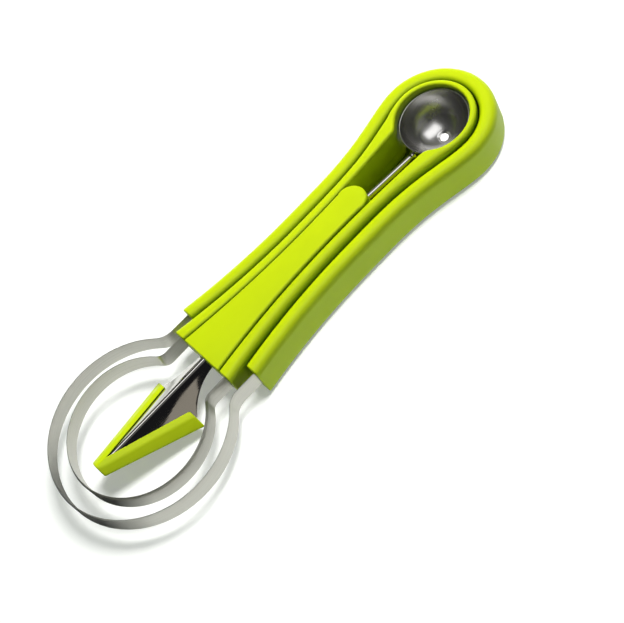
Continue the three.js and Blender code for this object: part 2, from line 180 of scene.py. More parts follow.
def add_noise(
    tree: bpy.types.NodeTree,
    place: bpy.types.NodeSocket,
    scale: float,
    detail: float,
    fineness: float = 0.5,
) -> bpy.types.NodeSocket:
    """Adds a noise whose octaves each keep a share, the fineness, of the one before."""
    inputs = {"Vector": place, "Scale": scale, "Detail": detail, "Roughness": fineness}
    return add_node(tree, "ShaderNodeTexNoise", inputs).outputs["Fac"]


def add_spread(
    tree: bpy.types.NodeTree,
    value: bpy.types.NodeSocket,
    middle: float,
    spread: float,
    ends: Point2 = (0.0, 1.0),
) -> bpy.types.NodeSocket:
    """Spreads a noise about a middle value.

    Args:
        tree: The node tree.
        value: The noise.
        middle: The middle value.
        spread: How far apart the least and the most are.
        ends: The noise's values that give the least and the most.

    Returns:
        The spread value.
    """
    inputs = {"Value": value, "From Min": ends[0], "From Max": ends[1]}
    inputs |= {"To Min": middle - spread / 2, "To Max": middle + spread / 2}
    return add_node(tree, "ShaderNodeMapRange", inputs).outputs["Result"]


def add_blend(
    tree: bpy.types.NodeTree,
    share: bpy.types.NodeSocket,
    first: Colour | bpy.types.NodeSocket,
    second: Colour | bpy.types.NodeSocket,
) -> bpy.types.NodeSocket:
    """Mixes two colours or their sockets, by the share of the second."""
    inputs = {0: share, 6: first, 7: second}
    return add_node(tree, "ShaderNodeMix", inputs, data_type="RGBA").outputs[2]


def add_bump(
    tree: bpy.types.NodeTree, height: bpy.types.NodeSocket, strength: float, depth_mm: float
) -> bpy.types.NodeSocket:
    """Raises a surface by a noise, and gives its normal."""
    inputs = {"Height": height, "Strength": strength, "Distance": depth_mm * MM}
    return add_node(tree, "ShaderNodeBump", inputs).outputs["Normal"]


def add_ramp(
    tree: bpy.types.NodeTree,
    share: bpy.types.NodeSocket,
    stops: Sequence[tuple[float, Colour]],
) -> bpy.types.NodeSocket:
    """Adds a colour ramp.

    Args:
        tree: The node tree.
        share: Where it is read, from nought to one.
        stops: Places and their colours, in order.

    Returns:
        The colour.
    """
    ramp = add_node(tree, "ShaderNodeValToRGB", {0: share})
    elements = ramp.color_ramp.elements
    for _ in range(len(stops) - len(elements)):
        elements.new(0.5)
    for element, (place, colour) in zip(elements, stops):
        element.position, element.color = place, colour
    return ramp.outputs["Color"]


# Finishes


@dataclass(frozen=True)
class MouldedPolypropylene:
    """Injection-moulded polypropylene from a spark-eroded mould.

    The dye is even, the surface is satin with a fine grit, and light goes a little way in, so that
    shaded walls stay green. Grooves and narrow corners get painted shade: a deeper green mixed in
    there.
    """

    name: str
    deep: str
    pale: str
    roughness: float = 0.46
    roughness_spread: float = 0.08
    cloud_mm: float = 22.0  # size of the slow drift in the dye
    grit_mm: float = 0.4  # real grit is about 0.05 mm; drawn coarser so that it shows at all
    grit_depth_mm: float = 0.006
    grit_strength: float = 0.5
    grit_detail: float = 3.0
    grit_fineness: float = 0.6
    cloud_detail: float = 2.0
    groove_shade_colour: str = "#4E7600"  # painted shade: the deeper green that grooves and narrow corners show, where light hardly reaches
    groove_shade_mm: float = 2.4
    groove_shade_samples: int = 8
    index: float = 1.49
    specular: float = 0.35
    scatter_share: float = 0.1
    scatter_mm: float = 1.6
    scatter_reach: tuple[float, float, float] = (0.7, 1.0, 0.15)

    def material(self) -> bpy.types.Material:
        """Builds the node material.

        Returns:
            The material.
        """
        material, tree, surface = new_material(self.name)
        place = object_place(tree)
        cloud = add_noise(tree, place, 1 / (self.cloud_mm * MM), self.cloud_detail)
        grit = add_noise(tree, place, 1 / (self.grit_mm * MM), self.grit_detail, self.grit_fineness)
        dye = add_blend(tree, cloud, linear(self.deep), linear(self.pale))
        # painted shade: where the occlusion test finds walls close by, the dye turns to the groove
        # shade colour
        unshaded_share = add_node(
            tree,
            "ShaderNodeAmbientOcclusion",
            {"Distance": self.groove_shade_mm * MM},
            samples=self.groove_shade_samples,
        ).outputs["AO"]
        inputs = {
            "Base Color": add_blend(tree, unshaded_share, linear(self.groove_shade_colour), dye),
            "Roughness": add_spread(tree, grit, self.roughness, self.roughness_spread),
            "Normal": add_bump(tree, grit, self.grit_strength, self.grit_depth_mm),
            "IOR": self.index,
            "Specular IOR Level": self.specular,
            "Subsurface Weight": self.scatter_share,
            "Subsurface Scale": self.scatter_mm * MM,
            "Subsurface Radius": self.scatter_reach,
        }
        add_surface(tree, surface, "ShaderNodeBsdfPrincipled", inputs)
        return material


@dataclass(frozen=True)
class RolledStrip:
    """Cold-rolled stainless strip, drawn past a belt.

    Fine lines run along the strip, so it is streaked along its length and smears what it mirrors
    up and down, across the lines.
    """

    name: str
    dark: str
    bright: str
    smear: float = 0.75
    roughness: float = 0.32
    roughness_spread: float = 0.12
    line_mm: float = 0.16  # real belt lines are about 0.03 mm; drawn coarser so that they show
    run_mm: float = 26.0  # length of a line
    line_depth_mm: float = 0.004
    line_strength: float = 0.6
    line_detail: float = 4.0

    def material(self) -> bpy.types.Material:
        """Builds the node material.

        Returns:
            The material.
        """
        material, tree, surface = new_material(self.name)
        along, across = 1 / (self.run_mm * MM), 1 / (self.line_mm * MM)
        stretch = {"Vector": object_place(tree), "Scale": (along, along, across)}
        stretched = add_node(tree, "ShaderNodeMapping", stretch).outputs["Vector"]
        lines = add_noise(tree, stretched, 1.0, self.line_detail)
        inputs = {
            "Base Color": add_blend(tree, lines, linear(self.dark), linear(self.bright)),
            "Metallic": 1.0,
            "Roughness": add_spread(tree, lines, self.roughness, self.roughness_spread),
            "Normal": add_bump(tree, lines, self.line_strength, self.line_depth_mm),
            "Anisotropic": self.smear,
            "Tangent": add_node(tree, "ShaderNodeCombineXYZ", {"Z": 1.0}).outputs[0],
        }
        add_surface(tree, surface, "ShaderNodeBsdfPrincipled", inputs)
        return material


@dataclass(frozen=True)
class PolishedSteel:
    """Buffed stainless steel.

    It mirrors the room, with faint buffing rings round a centre and a slow change of gloss where it
    was handled.
    """

    name: str
    tone: str
    buffing: Buffing
    centre_mm: tuple[float, float, float] = (0.0, 0.0, 0.0)
    roughness: float = 0.1
    roughness_spread: float = 0.06
    smear_mm: float = 6.0
    ring_mm: float = 0.6  # real rings are about 0.1 mm apart; drawn coarser so that they show
    ring_depth_mm: float = 0.0006
    ring_strength: float = 0.5
    ring_wobble: float = 1.5
    smear_detail: float = 4.0
    smear_ends: Point2 = (0.3, 0.7)

    def material(self) -> bpy.types.Material:
        """Builds the node material.

        Returns:
            The material.
        """
        material, tree, surface = new_material(self.name)
        place = object_place(tree)
        shift = {"Vector": place, "Location": tuple(-share * MM for share in self.centre_mm)}
        centred = add_node(tree, "ShaderNodeMapping", shift).outputs["Vector"]
        scale = WAVE_LENGTH / (self.ring_mm * MM)
        rings = add_node(
            tree,
            "ShaderNodeTexWave",
            {"Vector": centred, "Scale": scale, "Distortion": self.ring_wobble},
            wave_type=self.buffing.value,
            bands_direction="X",
            rings_direction="Z",
        ).outputs["Fac"]
        smear = add_noise(tree, place, 1 / (self.smear_mm * MM), self.smear_detail)
        gloss = add_spread(tree, smear, self.roughness, self.roughness_spread, self.smear_ends)
        inputs = {
            "Base Color": linear(self.tone),
            "Metallic": 1.0,
            "Roughness": gloss,
            "Normal": add_bump(tree, rings, self.ring_strength, self.ring_depth_mm),
        }
        add_surface(tree, surface, "ShaderNodeBsdfPrincipled", inputs)
        return material


# Mesh work


def arc(x: float, y: float, radius: float, start: float, stop: float, steps: int) -> list[Point2]:
    """Gives the points of an arc.

    Args:
        x: Centre, first coordinate.
        y: Centre, second coordinate.
        radius: Radius of the arc.
        start: Angle of its first point, in degrees.
        stop: Angle of its last point, in degrees.
        steps: Number of steps between them.

    Returns:
        The points in order.
    """
    turns = [math.radians(start + (stop - start) * i / steps) for i in range(steps + 1)]
    return [(x + radius * math.cos(turn), y + radius * math.sin(turn)) for turn in turns]


def rolled_end(radius: float, steps: int) -> list[Point2]:
    """Rounds an end over a quarter turn.

    Args:
        radius: Radius of the rounding.
        steps: Number of steps.

    Returns:
        Pairs of the distance from the end and the inset of the section there, up to the end.
    """
    turns = [math.pi / 2 * i / steps for i in range(steps + 1)]
    return [(radius * (1 - math.sin(turn)), radius * (1 - math.cos(turn))) for turn in turns]


def ease(share: float) -> float:
    """Eases a share in and out, and keeps it between nought and one."""
    share = max(0.0, min(1.0, share))
    return share * share * (3 - 2 * share)


def bend_curve(start: float, pull: float, stop: float, share: float) -> float:
    """One coordinate of a curve that leaves its start and reaches its stop towards a pull."""
    rest = 1 - share
    return rest**2 * start + 2 * rest * share * pull + share**2 * stop


class Skin:
    """A row of vertices that is carried from place to place and leaves a skin behind it."""

    def __init__(self, mesh: BMesh, points: Sequence[Vector], closed: bool = True) -> None:
        """Lays the first row.

        Args:
            mesh: The mesh that gets the skin.
            points: Places of the row's vertices.
            closed: Whether the row is a ring.
        """
        self.mesh = mesh
        self.row = [mesh.verts.new(point) for point in points]
        ends = self.row[1:] + (self.row[:1] if closed else [])
        self.edges = [mesh.edges.new(pair) for pair in zip(self.row, ends)]

    @classmethod
    def on(cls, mesh: BMesh, row: list[BMVert], edges: list[BMEdge]) -> "Skin":
        """Takes up a row that is already in the mesh."""
        skin = cls.__new__(cls)
        skin.mesh, skin.row, skin.edges = mesh, row, edges
        return skin

    def step(self, points: Sequence[Vector]) -> None:
        """Extrudes the row.

        Args:
            points: Places of the new vertices, one for each of the row's.
        """
        made = bmesh.ops.extrude_edge_only(self.mesh, edges=self.edges)["geom"]
        fresh = {part for part in made if isinstance(part, BMVert)}
        row = []
        for vert, point in zip(self.row, points):
            others = [edge.other_vert(vert) for edge in vert.link_edges]
            twin = next(other for other in others if other in fresh)
            twin.co = point
            row.append(twin)
        self.row = row
        self.edges = [
            part for part in made if isinstance(part, BMEdge) and fresh.issuperset(part.verts)
        ]

    def spun(self, centre: Vector, axis: Vector, angle: float, steps: int) -> "Skin":
        """Spins the row about an axis.

        Args:
            centre: A point of the axis.
            axis: Direction of the axis.
            angle: How far to spin, in radians.
            steps: Number of steps.

        Returns:
            The skin's other end. This one stays at the start.
        """
        made = bmesh.ops.spin(
            self.mesh,
            geom=[*self.row, *self.edges],
            cent=centre,
            axis=axis,
            angle=angle,
            steps=steps,
            use_merge=False,
        )["geom_last"]
        verts = [part for part in made if isinstance(part, BMVert)]
        turn = Matrix.Rotation(angle, 3, axis)
        row = []
        for vert in self.row:
            goal = turn @ (vert.co - centre) + centre
            row.append(min(verts, key=lambda other: (other.co - goal).length_squared))
        return Skin.on(self.mesh, row, [part for part in made if isinstance(part, BMEdge)])

    def cap(self) -> None:
        """Closes the row with a face, with one more edge where the row is open."""
        edges = list(self.edges)
        if len(edges) < len(self.row):
            edges.append(self.mesh.edges.new((self.row[-1], self.row[0])))
        bmesh.ops.contextual_create(self.mesh, geom=edges)


def weld(mesh: BMesh, reach: float = 1e-4) -> None:
    """Merges doubled vertices and turns every face outwards."""
    bmesh.ops.remove_doubles(mesh, verts=mesh.verts, dist=reach)
    bmesh.ops.dissolve_degenerate(mesh, edges=mesh.edges, dist=reach)
    bmesh.ops.recalc_face_normals(mesh, faces=mesh.faces)


def mirror_over(mesh: BMesh, reach: float = 1e-3) -> None:
    """Adds the mirror image of a mesh in the plane X = 0 and joins the halves there."""
    everything = [*mesh.verts, *mesh.edges, *mesh.faces]
    bmesh.ops.mirror(mesh, geom=everything, axis="X", merge_dist=reach)


def cut_mesh(
    mesh: BMesh,
    point: Sequence[float] = (0, 0, 0),
    normal: Sequence[float] = (1, 0, 0),
    clear: bool = False,
) -> None:
    """Cuts a mesh in a plane.

    Args:
        mesh: The mesh.
        point: A point of the plane.
        normal: Direction across the plane.
        clear: Whether what lies behind the plane goes.
    """
    everything = [*mesh.verts, *mesh.edges, *mesh.faces]
    bmesh.ops.bisect_plane(
        mesh, geom=everything, plane_co=point, plane_no=normal, clear_inner=clear
    )


def level_sheet(size: Sequence[float], centre: Sequence[float]) -> BMesh:
    """Makes a level rectangle.

    Args:
        size: Its sides along X and Y.
        centre: Its middle.

    Returns:
        The mesh.
    """
    mesh = bmesh.new()
    bmesh.ops.create_grid(mesh, x_segments=1, y_segments=1, size=0.5)
    bmesh.ops.scale(mesh, vec=(*size, 1.0), verts=mesh.verts)
    bmesh.ops.translate(mesh, vec=centre, verts=mesh.verts)
    return mesh


def add_object(name: str, mesh: BMesh, material: bpy.types.Material) -> bpy.types.Object:
    """Turns a mesh into an object of the scene.

    Args:
        name: Name of the object.
        mesh: Its mesh, in metres, which is freed.
        material: Its material.

    Returns:
        The object.
    """
    data = bpy.data.meshes.new(name)
    mesh.to_mesh(data)
    mesh.free()
    data.materials.append(material)
    item = bpy.data.objects.new(name, data)
    bpy.context.scene.collection.objects.link(item)
    return item


@dataclass
class Piece:
    """What a finished mesh needs to become a piece of the set."""

    name: str
    node: str
    body: Body
    slot: Slot
    material: bpy.types.Material
    crease_degrees: float = 38.0

    def finish(self, mesh: BMesh) -> bpy.types.Object:
        """Turns a mesh in millimetres into a piece that rides on its body.

        Args:
            mesh: The mesh, which is freed.

        Returns:
            The piece's object, at the origin, with its place in its mesh.
        """
        bmesh.ops.scale(mesh, vec=(MM, MM, MM), verts=mesh.verts)
        for face in mesh.faces:
            face.smooth = True
        piece = add_object(self.name, mesh, self.material)
        piece.data.set_sharp_from_angle(angle=math.radians(self.crease_degrees))
        even = piece.modifiers.new("even_shading", "WEIGHTED_NORMAL")
        even.keep_sharp = True
        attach(piece, self.body.value)
        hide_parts(self.node)
        log.info("%s: %d faces", self.name, len(piece.data.polygons))
        return piece


# The set's shared outlines


@dataclass(frozen=True)
class Nest:
    """Sizes that the nested pieces share, in millimetres, and the outlines that follow."""

    large_loop_radius: float = 38.5
    head_span: float = 166.3
    head_radius: float = 25.5
    waist_span: float = 101.6
    waist_half: float = 18.9
    large_end_span: float = 45.0
    large_end_half: float = 24.0
    large_wall: float = 7.0
    large_window_half: float = 9.1
    ledge_setback: float = 0.8
    nest_gap: float = 0.6
    small_end_span: float = 36.4
    small_end_half: float = 17.8
    small_end_wall: float = 6.6
    small_leg_wall: float = 5.1
    small_head_wall: float = 2.6
    keyhole_neck_half: float = 8.3
    keyhole_blend: float = 4.8
    shelf_width: float = 1.6
    grip_gap: float = 0.3
    bowl_gap: float = 0.5
    stem_reveal: float = 24.8
    small_back_z: float = 6.5
    small_depth: float = 11.9

    @property
    def loop_y(self) -> float:
        """Y of both loops' common centre."""
        length = self.large_loop_radius + self.head_span + self.head_radius
        return self.large_loop_radius - length / 2

    @property
    def head_y(self) -> float:
        """Y of the head's centre."""
        return self.loop_y + self.head_span

    @property
    def waist_y(self) -> float:
        """Y of the narrowest place."""
        return self.loop_y + self.waist_span

    @property
    def large_end_y(self) -> float:
        """Y of the large handle's leg ends."""
        return self.loop_y + self.large_end_span

    @property
    def small_end_y(self) -> float:
        """Y of the small handle's leg ends, and of the grip's end."""
        return self.loop_y + self.small_end_span

    @property
    def small_head_radius(self) -> float:
        """Outer radius of the small handle's head."""
        return self.head_radius - self.large_wall - self.nest_gap

    @property
    def small_waist_half(self) -> float:
        """Half width of the small handle at the waist."""
        return self.waist_half - self.large_wall - self.nest_gap

    @property
    def hole_radius(self) -> float:
        """Radius of the keyhole's round end."""
        return self.small_head_radius - self.small_head_wall

    @property
    def bowl_rim_radius(self) -> float:
        """Outer radius of the bowl's rim."""
        return self.hole_radius - self.bowl_gap

    @property
    def grip_top_y(self) -> float:
        """Y of the grip's round end."""
        return self.head_y - self.bowl_rim_radius - self.stem_reveal

    def outline_half(
        self, y: float, end_y: float, end_half: float, narrow_half: float, top_half: float
    ) -> float:
        """Gives the half width of a hairpin outline.

        It is a parabola below the waist and a late sweep out to the head above it.

        Args:
            y: Place along the handle.
            end_y: Place of the leg ends.
            end_half: Half width at the leg ends.
            narrow_half: Half width at the waist.
            top_half: Half width at the head's centre.

        Returns:
            The half width.
        """
        if y < self.waist_y:
            below = (self.waist_y - y) / (self.waist_y - end_y)
            return narrow_half + (end_half - narrow_half) * below**2
        above = min(1.0, (y - self.waist_y) / (self.head_y - self.waist_y)) ** 2
        return narrow_half + (top_half - narrow_half) * ease(above)

    def large_outer(self, y: float) -> float:
        """Outer half width of the large handle."""
        return self.outline_half(
            y, self.large_end_y, self.large_end_half, self.waist_half, self.head_radius
        )

    def large_inner(self, y: float) -> float:
        """Inner half width of the large handle."""
        return self.large_outer(y) - self.large_wall

    def large_ledge(self, y: float) -> float:
        """Half width between the steps that carry the small handle."""
        return max(self.large_window_half, self.small_inner(y) + self.ledge_setback)

    def small_outer(self, y: float) -> float:
        """Outer half width of the small handle."""
        return self.outline_half(
            y, self.small_end_y, self.small_end_half, self.small_waist_half, self.small_head_radius
        )

    def small_inner(self, y: float) -> float:
        """Gives the inner half width of the small handle.

        The legs open slowly, then a reverse bend leads into the round hole.

        Args:
            y: Place along the handle.

        Returns:
            The half width.
        """
        narrow = self.small_waist_half - self.small_leg_wall
        if y < self.waist_y:
            end_half = self.small_end_half - self.small_end_wall
            return self.outline_half(y, self.small_end_y, end_half, narrow, narrow)
        neck, blend, hole = self.keyhole_neck_half, self.keyhole_blend, self.hole_radius
        angle = math.acos((neck + blend) / (hole + blend))
        bend_y = self.head_y - (hole + blend) * math.sin(angle)
        join_y = self.head_y - hole * math.sin(angle)
        if y < bend_y:
            return narrow + (neck - narrow) * ((y - self.waist_y) / (bend_y - self.waist_y)) ** 2
        if y < join_y:
            return neck + blend - math.sqrt(blend**2 - (y - bend_y) ** 2)
        return math.sqrt(hole**2 - min(0.0, y - self.head_y) ** 2)

    def small_ledge(self, y: float) -> float:
        """Half width between the lips that carry the grip, which stop short of its round end."""
        top = self.grip_top_y - self.shelf_width
        return self.small_inner(y) - (self.shelf_width if y < top else 0.0)

    def grip_half(self, y: float) -> float:
        """Half width of the carver's grip."""
        return self.small_inner(y) - self.grip_gap


# The scoops


@dataclass
class LoopScoop:
    """A hairpin handle, moulded round the two ends of a bent steel strip. Sizes in millimetres."""

    nest: Nest
    title: str
    body: Body
    plastic: bpy.types.Material
    steel: bpy.types.Material
    end_y: float
    outer_half: Callable[[float], float]
    inner_half: Callable[[float], float]
    ledge_half: Callable[[float], float]
    back_z: float
    front_z: float
    ledge_z: float
    outer_round: float
    inner_round: float
    back_round: float
    loop_radius: float
    loop_height: float
    loop_rise: float
    tang_half: float
    neck_bend: float
    ledge_round: float = 0.4
    wall_shares: tuple[float, float, float] = (0.6, 0.38, 0.5)  # most that the rounds may take
    strip_thickness: float = 0.8
    strip_width: float = 8.0
    strip_round: float = 0.14
    ground_height: float = 1.3
    ground_land: float = 0.25  # what the grinding leaves of the strip's front face
    tang_depth: float = 12.0
    end_round: float = 0.6
    leg_steps: int = 26
    neck_steps: int = 40
    head_steps: int = 36
    round_steps: int = 7
    ledge_steps: int = 3
    strip_steps: int = 3
    ground_steps: int = 2
    ground_degrees: float = 25.0
    loop_steps: int = 110
    bend_steps: int = 14
    tang_steps: int = 8

    def section(self, y: float, inset: float = 0.0) -> list[Point2]:
        """Draws the section of the wall.

        Args:
            y: Place along the handle.
            inset: How far the section is drawn in, at a rounded leg end.

        Returns:
            Points round the section: distance in from the outer face, and height.
        """
        wall = self.outer_half(y) - self.inner_half(y)
        rounds = zip((self.outer_round, self.inner_round, self.back_round), self.wall_shares)
        outer, inner, back = (min(size, share * wall) - inset for size, share in rounds)
        low, high, far = self.back_z + inset, self.front_z - inset, wall - inset
        ledge = self.inner_half(y) - self.ledge_half(y)
        soft = min(self.ledge_round, ledge / 2)
        step_z = self.ledge_z - inset
        return [
            *arc(inset + back, low + back, back, 180, 270, self.round_steps),
            (far + ledge, low),
            *arc(far + ledge - soft, step_z - soft, soft, 0, 90, self.ledge_steps),
            (far, step_z),
            *arc(far - inner, high - inner, inner, 0, 90, self.round_steps),
            *arc(inset + outer, high - outer, outer, 90, 180, self.round_steps),
        ]

    def ring(self, y: float, inset: float = 0.0) -> list[Vector]:
        """The section's points on the leg at +X."""
        half = self.outer_half(y)
        return [Vector((half - x, y, z)) for x, z in self.section(y, inset)]

    def stations(self) -> list[Point2]:
        """Lists the places down a leg that need a ring.

        Returns:
            Pairs of a place and the inset of the section there, from the head to the leg's end.
        """
        waist, head, end = self.nest.waist_y, self.nest.head_y, self.end_y + self.end_round
        turns = [math.pi / 2 * (1 - i / self.neck_steps) for i in range(1, self.neck_steps)]
        places = [waist + (head - waist) * math.sin(turn) for turn in turns]
        places += [waist + (end - waist) * i / self.leg_steps for i in range(self.leg_steps)]
        shelf_y = self.nest.grip_top_y - self.nest.shelf_width
        places += [shelf_y + STITCH, shelf_y - STITCH]
        rows = [(place, 0.0) for place in sorted(places, reverse=True)]
        ends = rolled_end(self.end_round, END_STEPS)
        return rows + [(self.end_y + run, inset) for run, inset in ends]

    def build_handle(self) -> bpy.types.Object:
        """Shapes one half and mirrors it.

        Returns:
            The handle: the section spun round the head and drawn down both closed legs.
        """
        mesh = bmesh.new()
        leg = Skin(mesh, self.ring(self.nest.head_y))
        leg.spun(Vector((0, self.nest.head_y, 0)), UP, math.pi / 2, self.head_steps)
        for y, inset in self.stations():
            leg.step(self.ring(y, inset))
        leg.cap()
        mirror_over(mesh)
        weld(mesh)
        names = f"{self.title}_moulded_handle", f"{self.title}_handle"
        return Piece(*names, self.body, Slot.HANDLE, self.plastic).finish(mesh)

    def strip_section(self) -> list[Point2]:
        """Draws the strip's section: eased corners, and a front edge ground from outside.

        Returns:
            Points round the section: distance out from its middle, and height.
        """
        half, edge = self.strip_thickness / 2, self.strip_round
        fine = edge / 2
        low, high = self.loop_height, self.loop_height + self.strip_width
        tip, steps = high - fine, self.ground_steps
        return [
            *arc(half - edge, low + edge, edge, -90, 0, self.strip_steps),
            (half, high - self.ground_height),
            *arc(self.ground_land - half - fine, tip, fine, self.ground_degrees, 90, steps),
            *arc(fine - half, tip, fine, 90, 180, steps),
            *arc(edge - half, low + edge, edge, 180, 270, self.strip_steps),
        ]

    def build_loop(self) -> bpy.types.Object:
        """Bends one half of the strip, mirrors it and tips the whole loop.

        Returns:
            The loop: half a circle, a reverse bend at its neck, and a tang inside the leg.
        """
        mesh = bmesh.new()
        centre = Vector((0, self.nest.loop_y, self.loop_height))
        middle = self.loop_radius - self.strip_thickness / 2
        angle = math.acos((self.tang_half + self.neck_bend) / (middle + self.neck_bend))
        bend_y = centre.y + (middle + self.neck_bend) * math.sin(angle)
        bend_centre = Vector((self.tang_half + self.neck_bend, bend_y, 0))
        arm = Skin(mesh, [Vector((0, centre.y - middle - x, z)) for x, z in self.strip_section()])
        arm = arm.spun(centre, UP, math.pi / 2 + angle, self.loop_steps)
        arm = arm.spun(bend_centre, UP, -angle, self.bend_steps)
        inset = self.outer_half(self.end_y) - self.tang_half
        for i in range(self.tang_steps + 1):
            y = self.end_y + self.tang_depth * i / self.tang_steps
            x = self.outer_half(y) - inset
            arm.step([Vector((x + across, y, z)) for across, z in self.strip_section()])
        arm.cap()
        mirror_over(mesh)
        weld(mesh)
        rise = Matrix.Rotation(-math.radians(self.loop_rise), 3, "X")
        bmesh.ops.rotate(mesh, cent=centre, matrix=rise, verts=mesh.verts)
        names = f"{self.title}_strip_loop", f"{self.title}_loop"
        return Piece(*names, self.body, Slot.LOOP, self.steel).finish(mesh)

    def build(self) -> None:
        """Builds both pieces."""
        self.build_handle()
        self.build_loop()


# The carver


@dataclass(frozen=True)
class Fold:
    """The folded form that the blade and its guard share, in millimetres.

    Reach is measured from the ridge, along a wing that falls away from it.
    """

    nest: Nest
    slope_degrees: float = 40.0
    ridge_height: float = 15.3
    tip_span: float = 20.3
    corner_span: float = 18.6
    corner_reach: float = 13.9

    @property
    def angle(self) -> float:
        """Slope of a wing, in radians."""
        return math.radians(self.slope_degrees)

    @property
    def tip_y(self) -> float:
        """Y of the blade's tip."""
        return self.nest.loop_y - self.tip_span

    @property
    def corner_y(self) -> float:
        """Y of the wing's corners."""
        return self.nest.loop_y + self.corner_span

    @property
    def edge_slope(self) -> float:
        """Growth of the edge's reach along Y."""
        return self.corner_reach / (self.corner_span + self.tip_span)

    @property
    def stretch(self) -> float:
        """Length of the oblique edge for each millimetre along Y."""
        return math.hypot(1, self.edge_slope)

    def edge_reach(self, y: float, offset: float = 0.0) -> float:
        """Reach of a line beside the cutting edge, an offset outside it."""
        return (y - self.tip_y) * self.edge_slope + offset * self.stretch

    def edge_y(self, reach: float, offset: float) -> float:
        """Y where that line has a given reach."""
        return self.tip_y + (reach - offset * self.stretch) / self.edge_slope

    def folded(self, reach: float, y: float, above: float) -> Vector:
        """Place of a point on the right wing, some way above the middle of its sheet."""
        across, up = math.cos(self.angle), math.sin(self.angle)
        height = self.ridge_height - reach * up + above * across
        return Vector((reach * across + above * up, y, height))


@dataclass
class Carver:
    """Grip, folded blade, stem and bowl. Sizes in millimetres."""

    nest: Nest
    fold: Fold
    plastic: bpy.types.Material
    blade_steel: bpy.types.Material
    stem_steel: bpy.types.Material
    bowl_steel: bpy.types.Material
    grip_back_z: float = 8.3
    grip_height: float = 10.0
    grip_round: float = 1.1
    grip_crown: float = 0.7
    grip_end_round: float = 0.5
    grip_steps: int = 60
    grip_turn_steps: int = 24
    crown_steps: int = 8
    edge_steps: tuple[int, int] = (7, 5)  # front edge, back edge
    blade_thickness: float = 0.8
    blade_fold_soft: float = 0.45
    tip_reach: float = 0.5  # the blade's tip is ground blunt, inside the guard
    blade_edge_round: float = 0.12
    blade_edge_steps: int = 2
    blade_edge_degrees: float = 60.0
    blade_rows: tuple[int, int, int] = (40, 28, 4)  # along the wing, the flare and the tang
    shank_reach: float = 4.8
    flare_reach: float = 6.0
    flare_span: float = 25.5
    blade_tang: float = 15.0
    ridge_columns: tuple[float, ...] = (0.0, 0.12, 0.25, 0.4, 0.6, 0.9, 1.3)
    wing_steps: int = 12
    stem_radius: float = 1.5
    stem_sides: int = 40
    stem_shape: tuple[Point2, ...] = (  # share of the length, share of the radius
        (0.0, 1.0),
        (0.5, 1.0),
        (0.972, 1.0),
        (0.984, 1.06),
        (0.994, 1.2),
        (1.0, 1.4),
    )
    stem_slope_degrees: float = 5.5
    stem_height: float = 11.3
    stem_tang: float = 24.0
    bowl_depth: float = 12.4
    bowl_wall: float = 0.7
    bowl_hole_radius: float = 1.75
    bowl_rim_height: float = 14.9
    bowl_tilt_degrees: float = 5.0
    dimple_radius: float = 2.9
    dimple_depth: float = 0.35
    press_radius: float = 9.8  # the punch's round end leaves a faint step in the bowl
    press_width: float = 1.2
    press_depth: float = 0.14
    bowl_steps: int = 120
    bowl_rows: int = 48
    bowl_crowding: float = 1.4  # draws the rows together towards the hole
    lip_steps: int = 6

    def crown(self, x: float) -> float:
        """Height of the grip's crown, some way from the middle."""
        return self.grip_crown * (1 - (x / self.nest.grip_half(self.nest.small_end_y)) ** 2)

    def grip_profile(self, half: float, inset: float = 0.0) -> list[Point2]:
        """Draws half of the grip's section, with its crowned front.

        Args:
            half: Half width of the grip there.
            inset: How far the section is drawn in, at the grip's rounded end.

        Returns:
            Distances from the middle and heights, from the middle of the front to that of the back.
        """
        full = self.nest.grip_half(self.nest.small_end_y)
        front, back = self.grip_back_z + self.grip_height - inset, self.grip_back_z + inset
        edge = self.grip_round - inset
        flat = half - inset - edge
        places = [flat * i / self.crown_steps for i in range(self.crown_steps)]
        lean = math.degrees(2 * self.grip_crown * flat / full**2)
        front_steps, back_steps = self.edge_steps
        return [
            *((x, front + self.crown(x)) for x in places),
            *arc(flat, front + self.crown(flat) - edge, edge, 90 - lean / 2, 0, front_steps),
            *arc(flat, back + edge, edge, 0, -90, back_steps),
            (flat / 2, back),
            (0.0, back),
        ]

    def build_grip(self) -> bpy.types.Object:
        """Turns the grip's round end, draws its right half out to the blade and mirrors it.

        Returns:
            The grip.
        """
        mesh = bmesh.new()
        nest = self.nest
        radius = nest.grip_half(nest.grip_top_y)
        centre_y = nest.grip_top_y - radius
        profile = self.grip_profile(radius)
        half = Skin(mesh, [Vector((x, centre_y, z)) for x, z in profile], closed=False)
        half.spun(Vector((0, centre_y, 0)), UP, math.pi / 2, self.grip_turn_steps)
        run = centre_y - nest.small_end_y - self.grip_end_round
        rows = [(centre_y - run * i / self.grip_steps, 0.0) for i in range(1, self.grip_steps + 1)]
        ends = rolled_end(self.grip_end_round, END_STEPS)
        rows += [(nest.small_end_y + y, inset) for y, inset in ends]
        for y, inset in rows:
            profile = self.grip_profile(nest.grip_half(y), inset)
            half.step([Vector((x, y, z)) for x, z in profile])
        half.cap()
        mirror_over(mesh)
        weld(mesh)
        piece = Piece("carver_moulded_grip", "core_grip", Body.CARVER, Slot.HANDLE, self.plastic)
        return piece.finish(mesh)

    def wing_reach(self, y: float) -> float:
        """Gives the reach of the blade's wing: oblique edge, hollow flare, straight shank.

        Args:
            y: Place along the blade.

        Returns:
            The reach.
        """
        fold, end_y = self.fold, self.nest.small_end_y
        if y <= fold.corner_y:
            return fold.edge_reach(y)
        if y >= end_y:
            return self.shank_reach
        flare_y = self.nest.loop_y + self.flare_span
        low, high = 0.0, 1.0
        for _ in range(HALVINGS):
            share = (low + high) / 2
            if bend_curve(fold.corner_y, flare_y, end_y, share) < y:
                low = share
            else:
                high = share
        return bend_curve(fold.corner_reach, self.flare_reach, self.shank_reach, share)

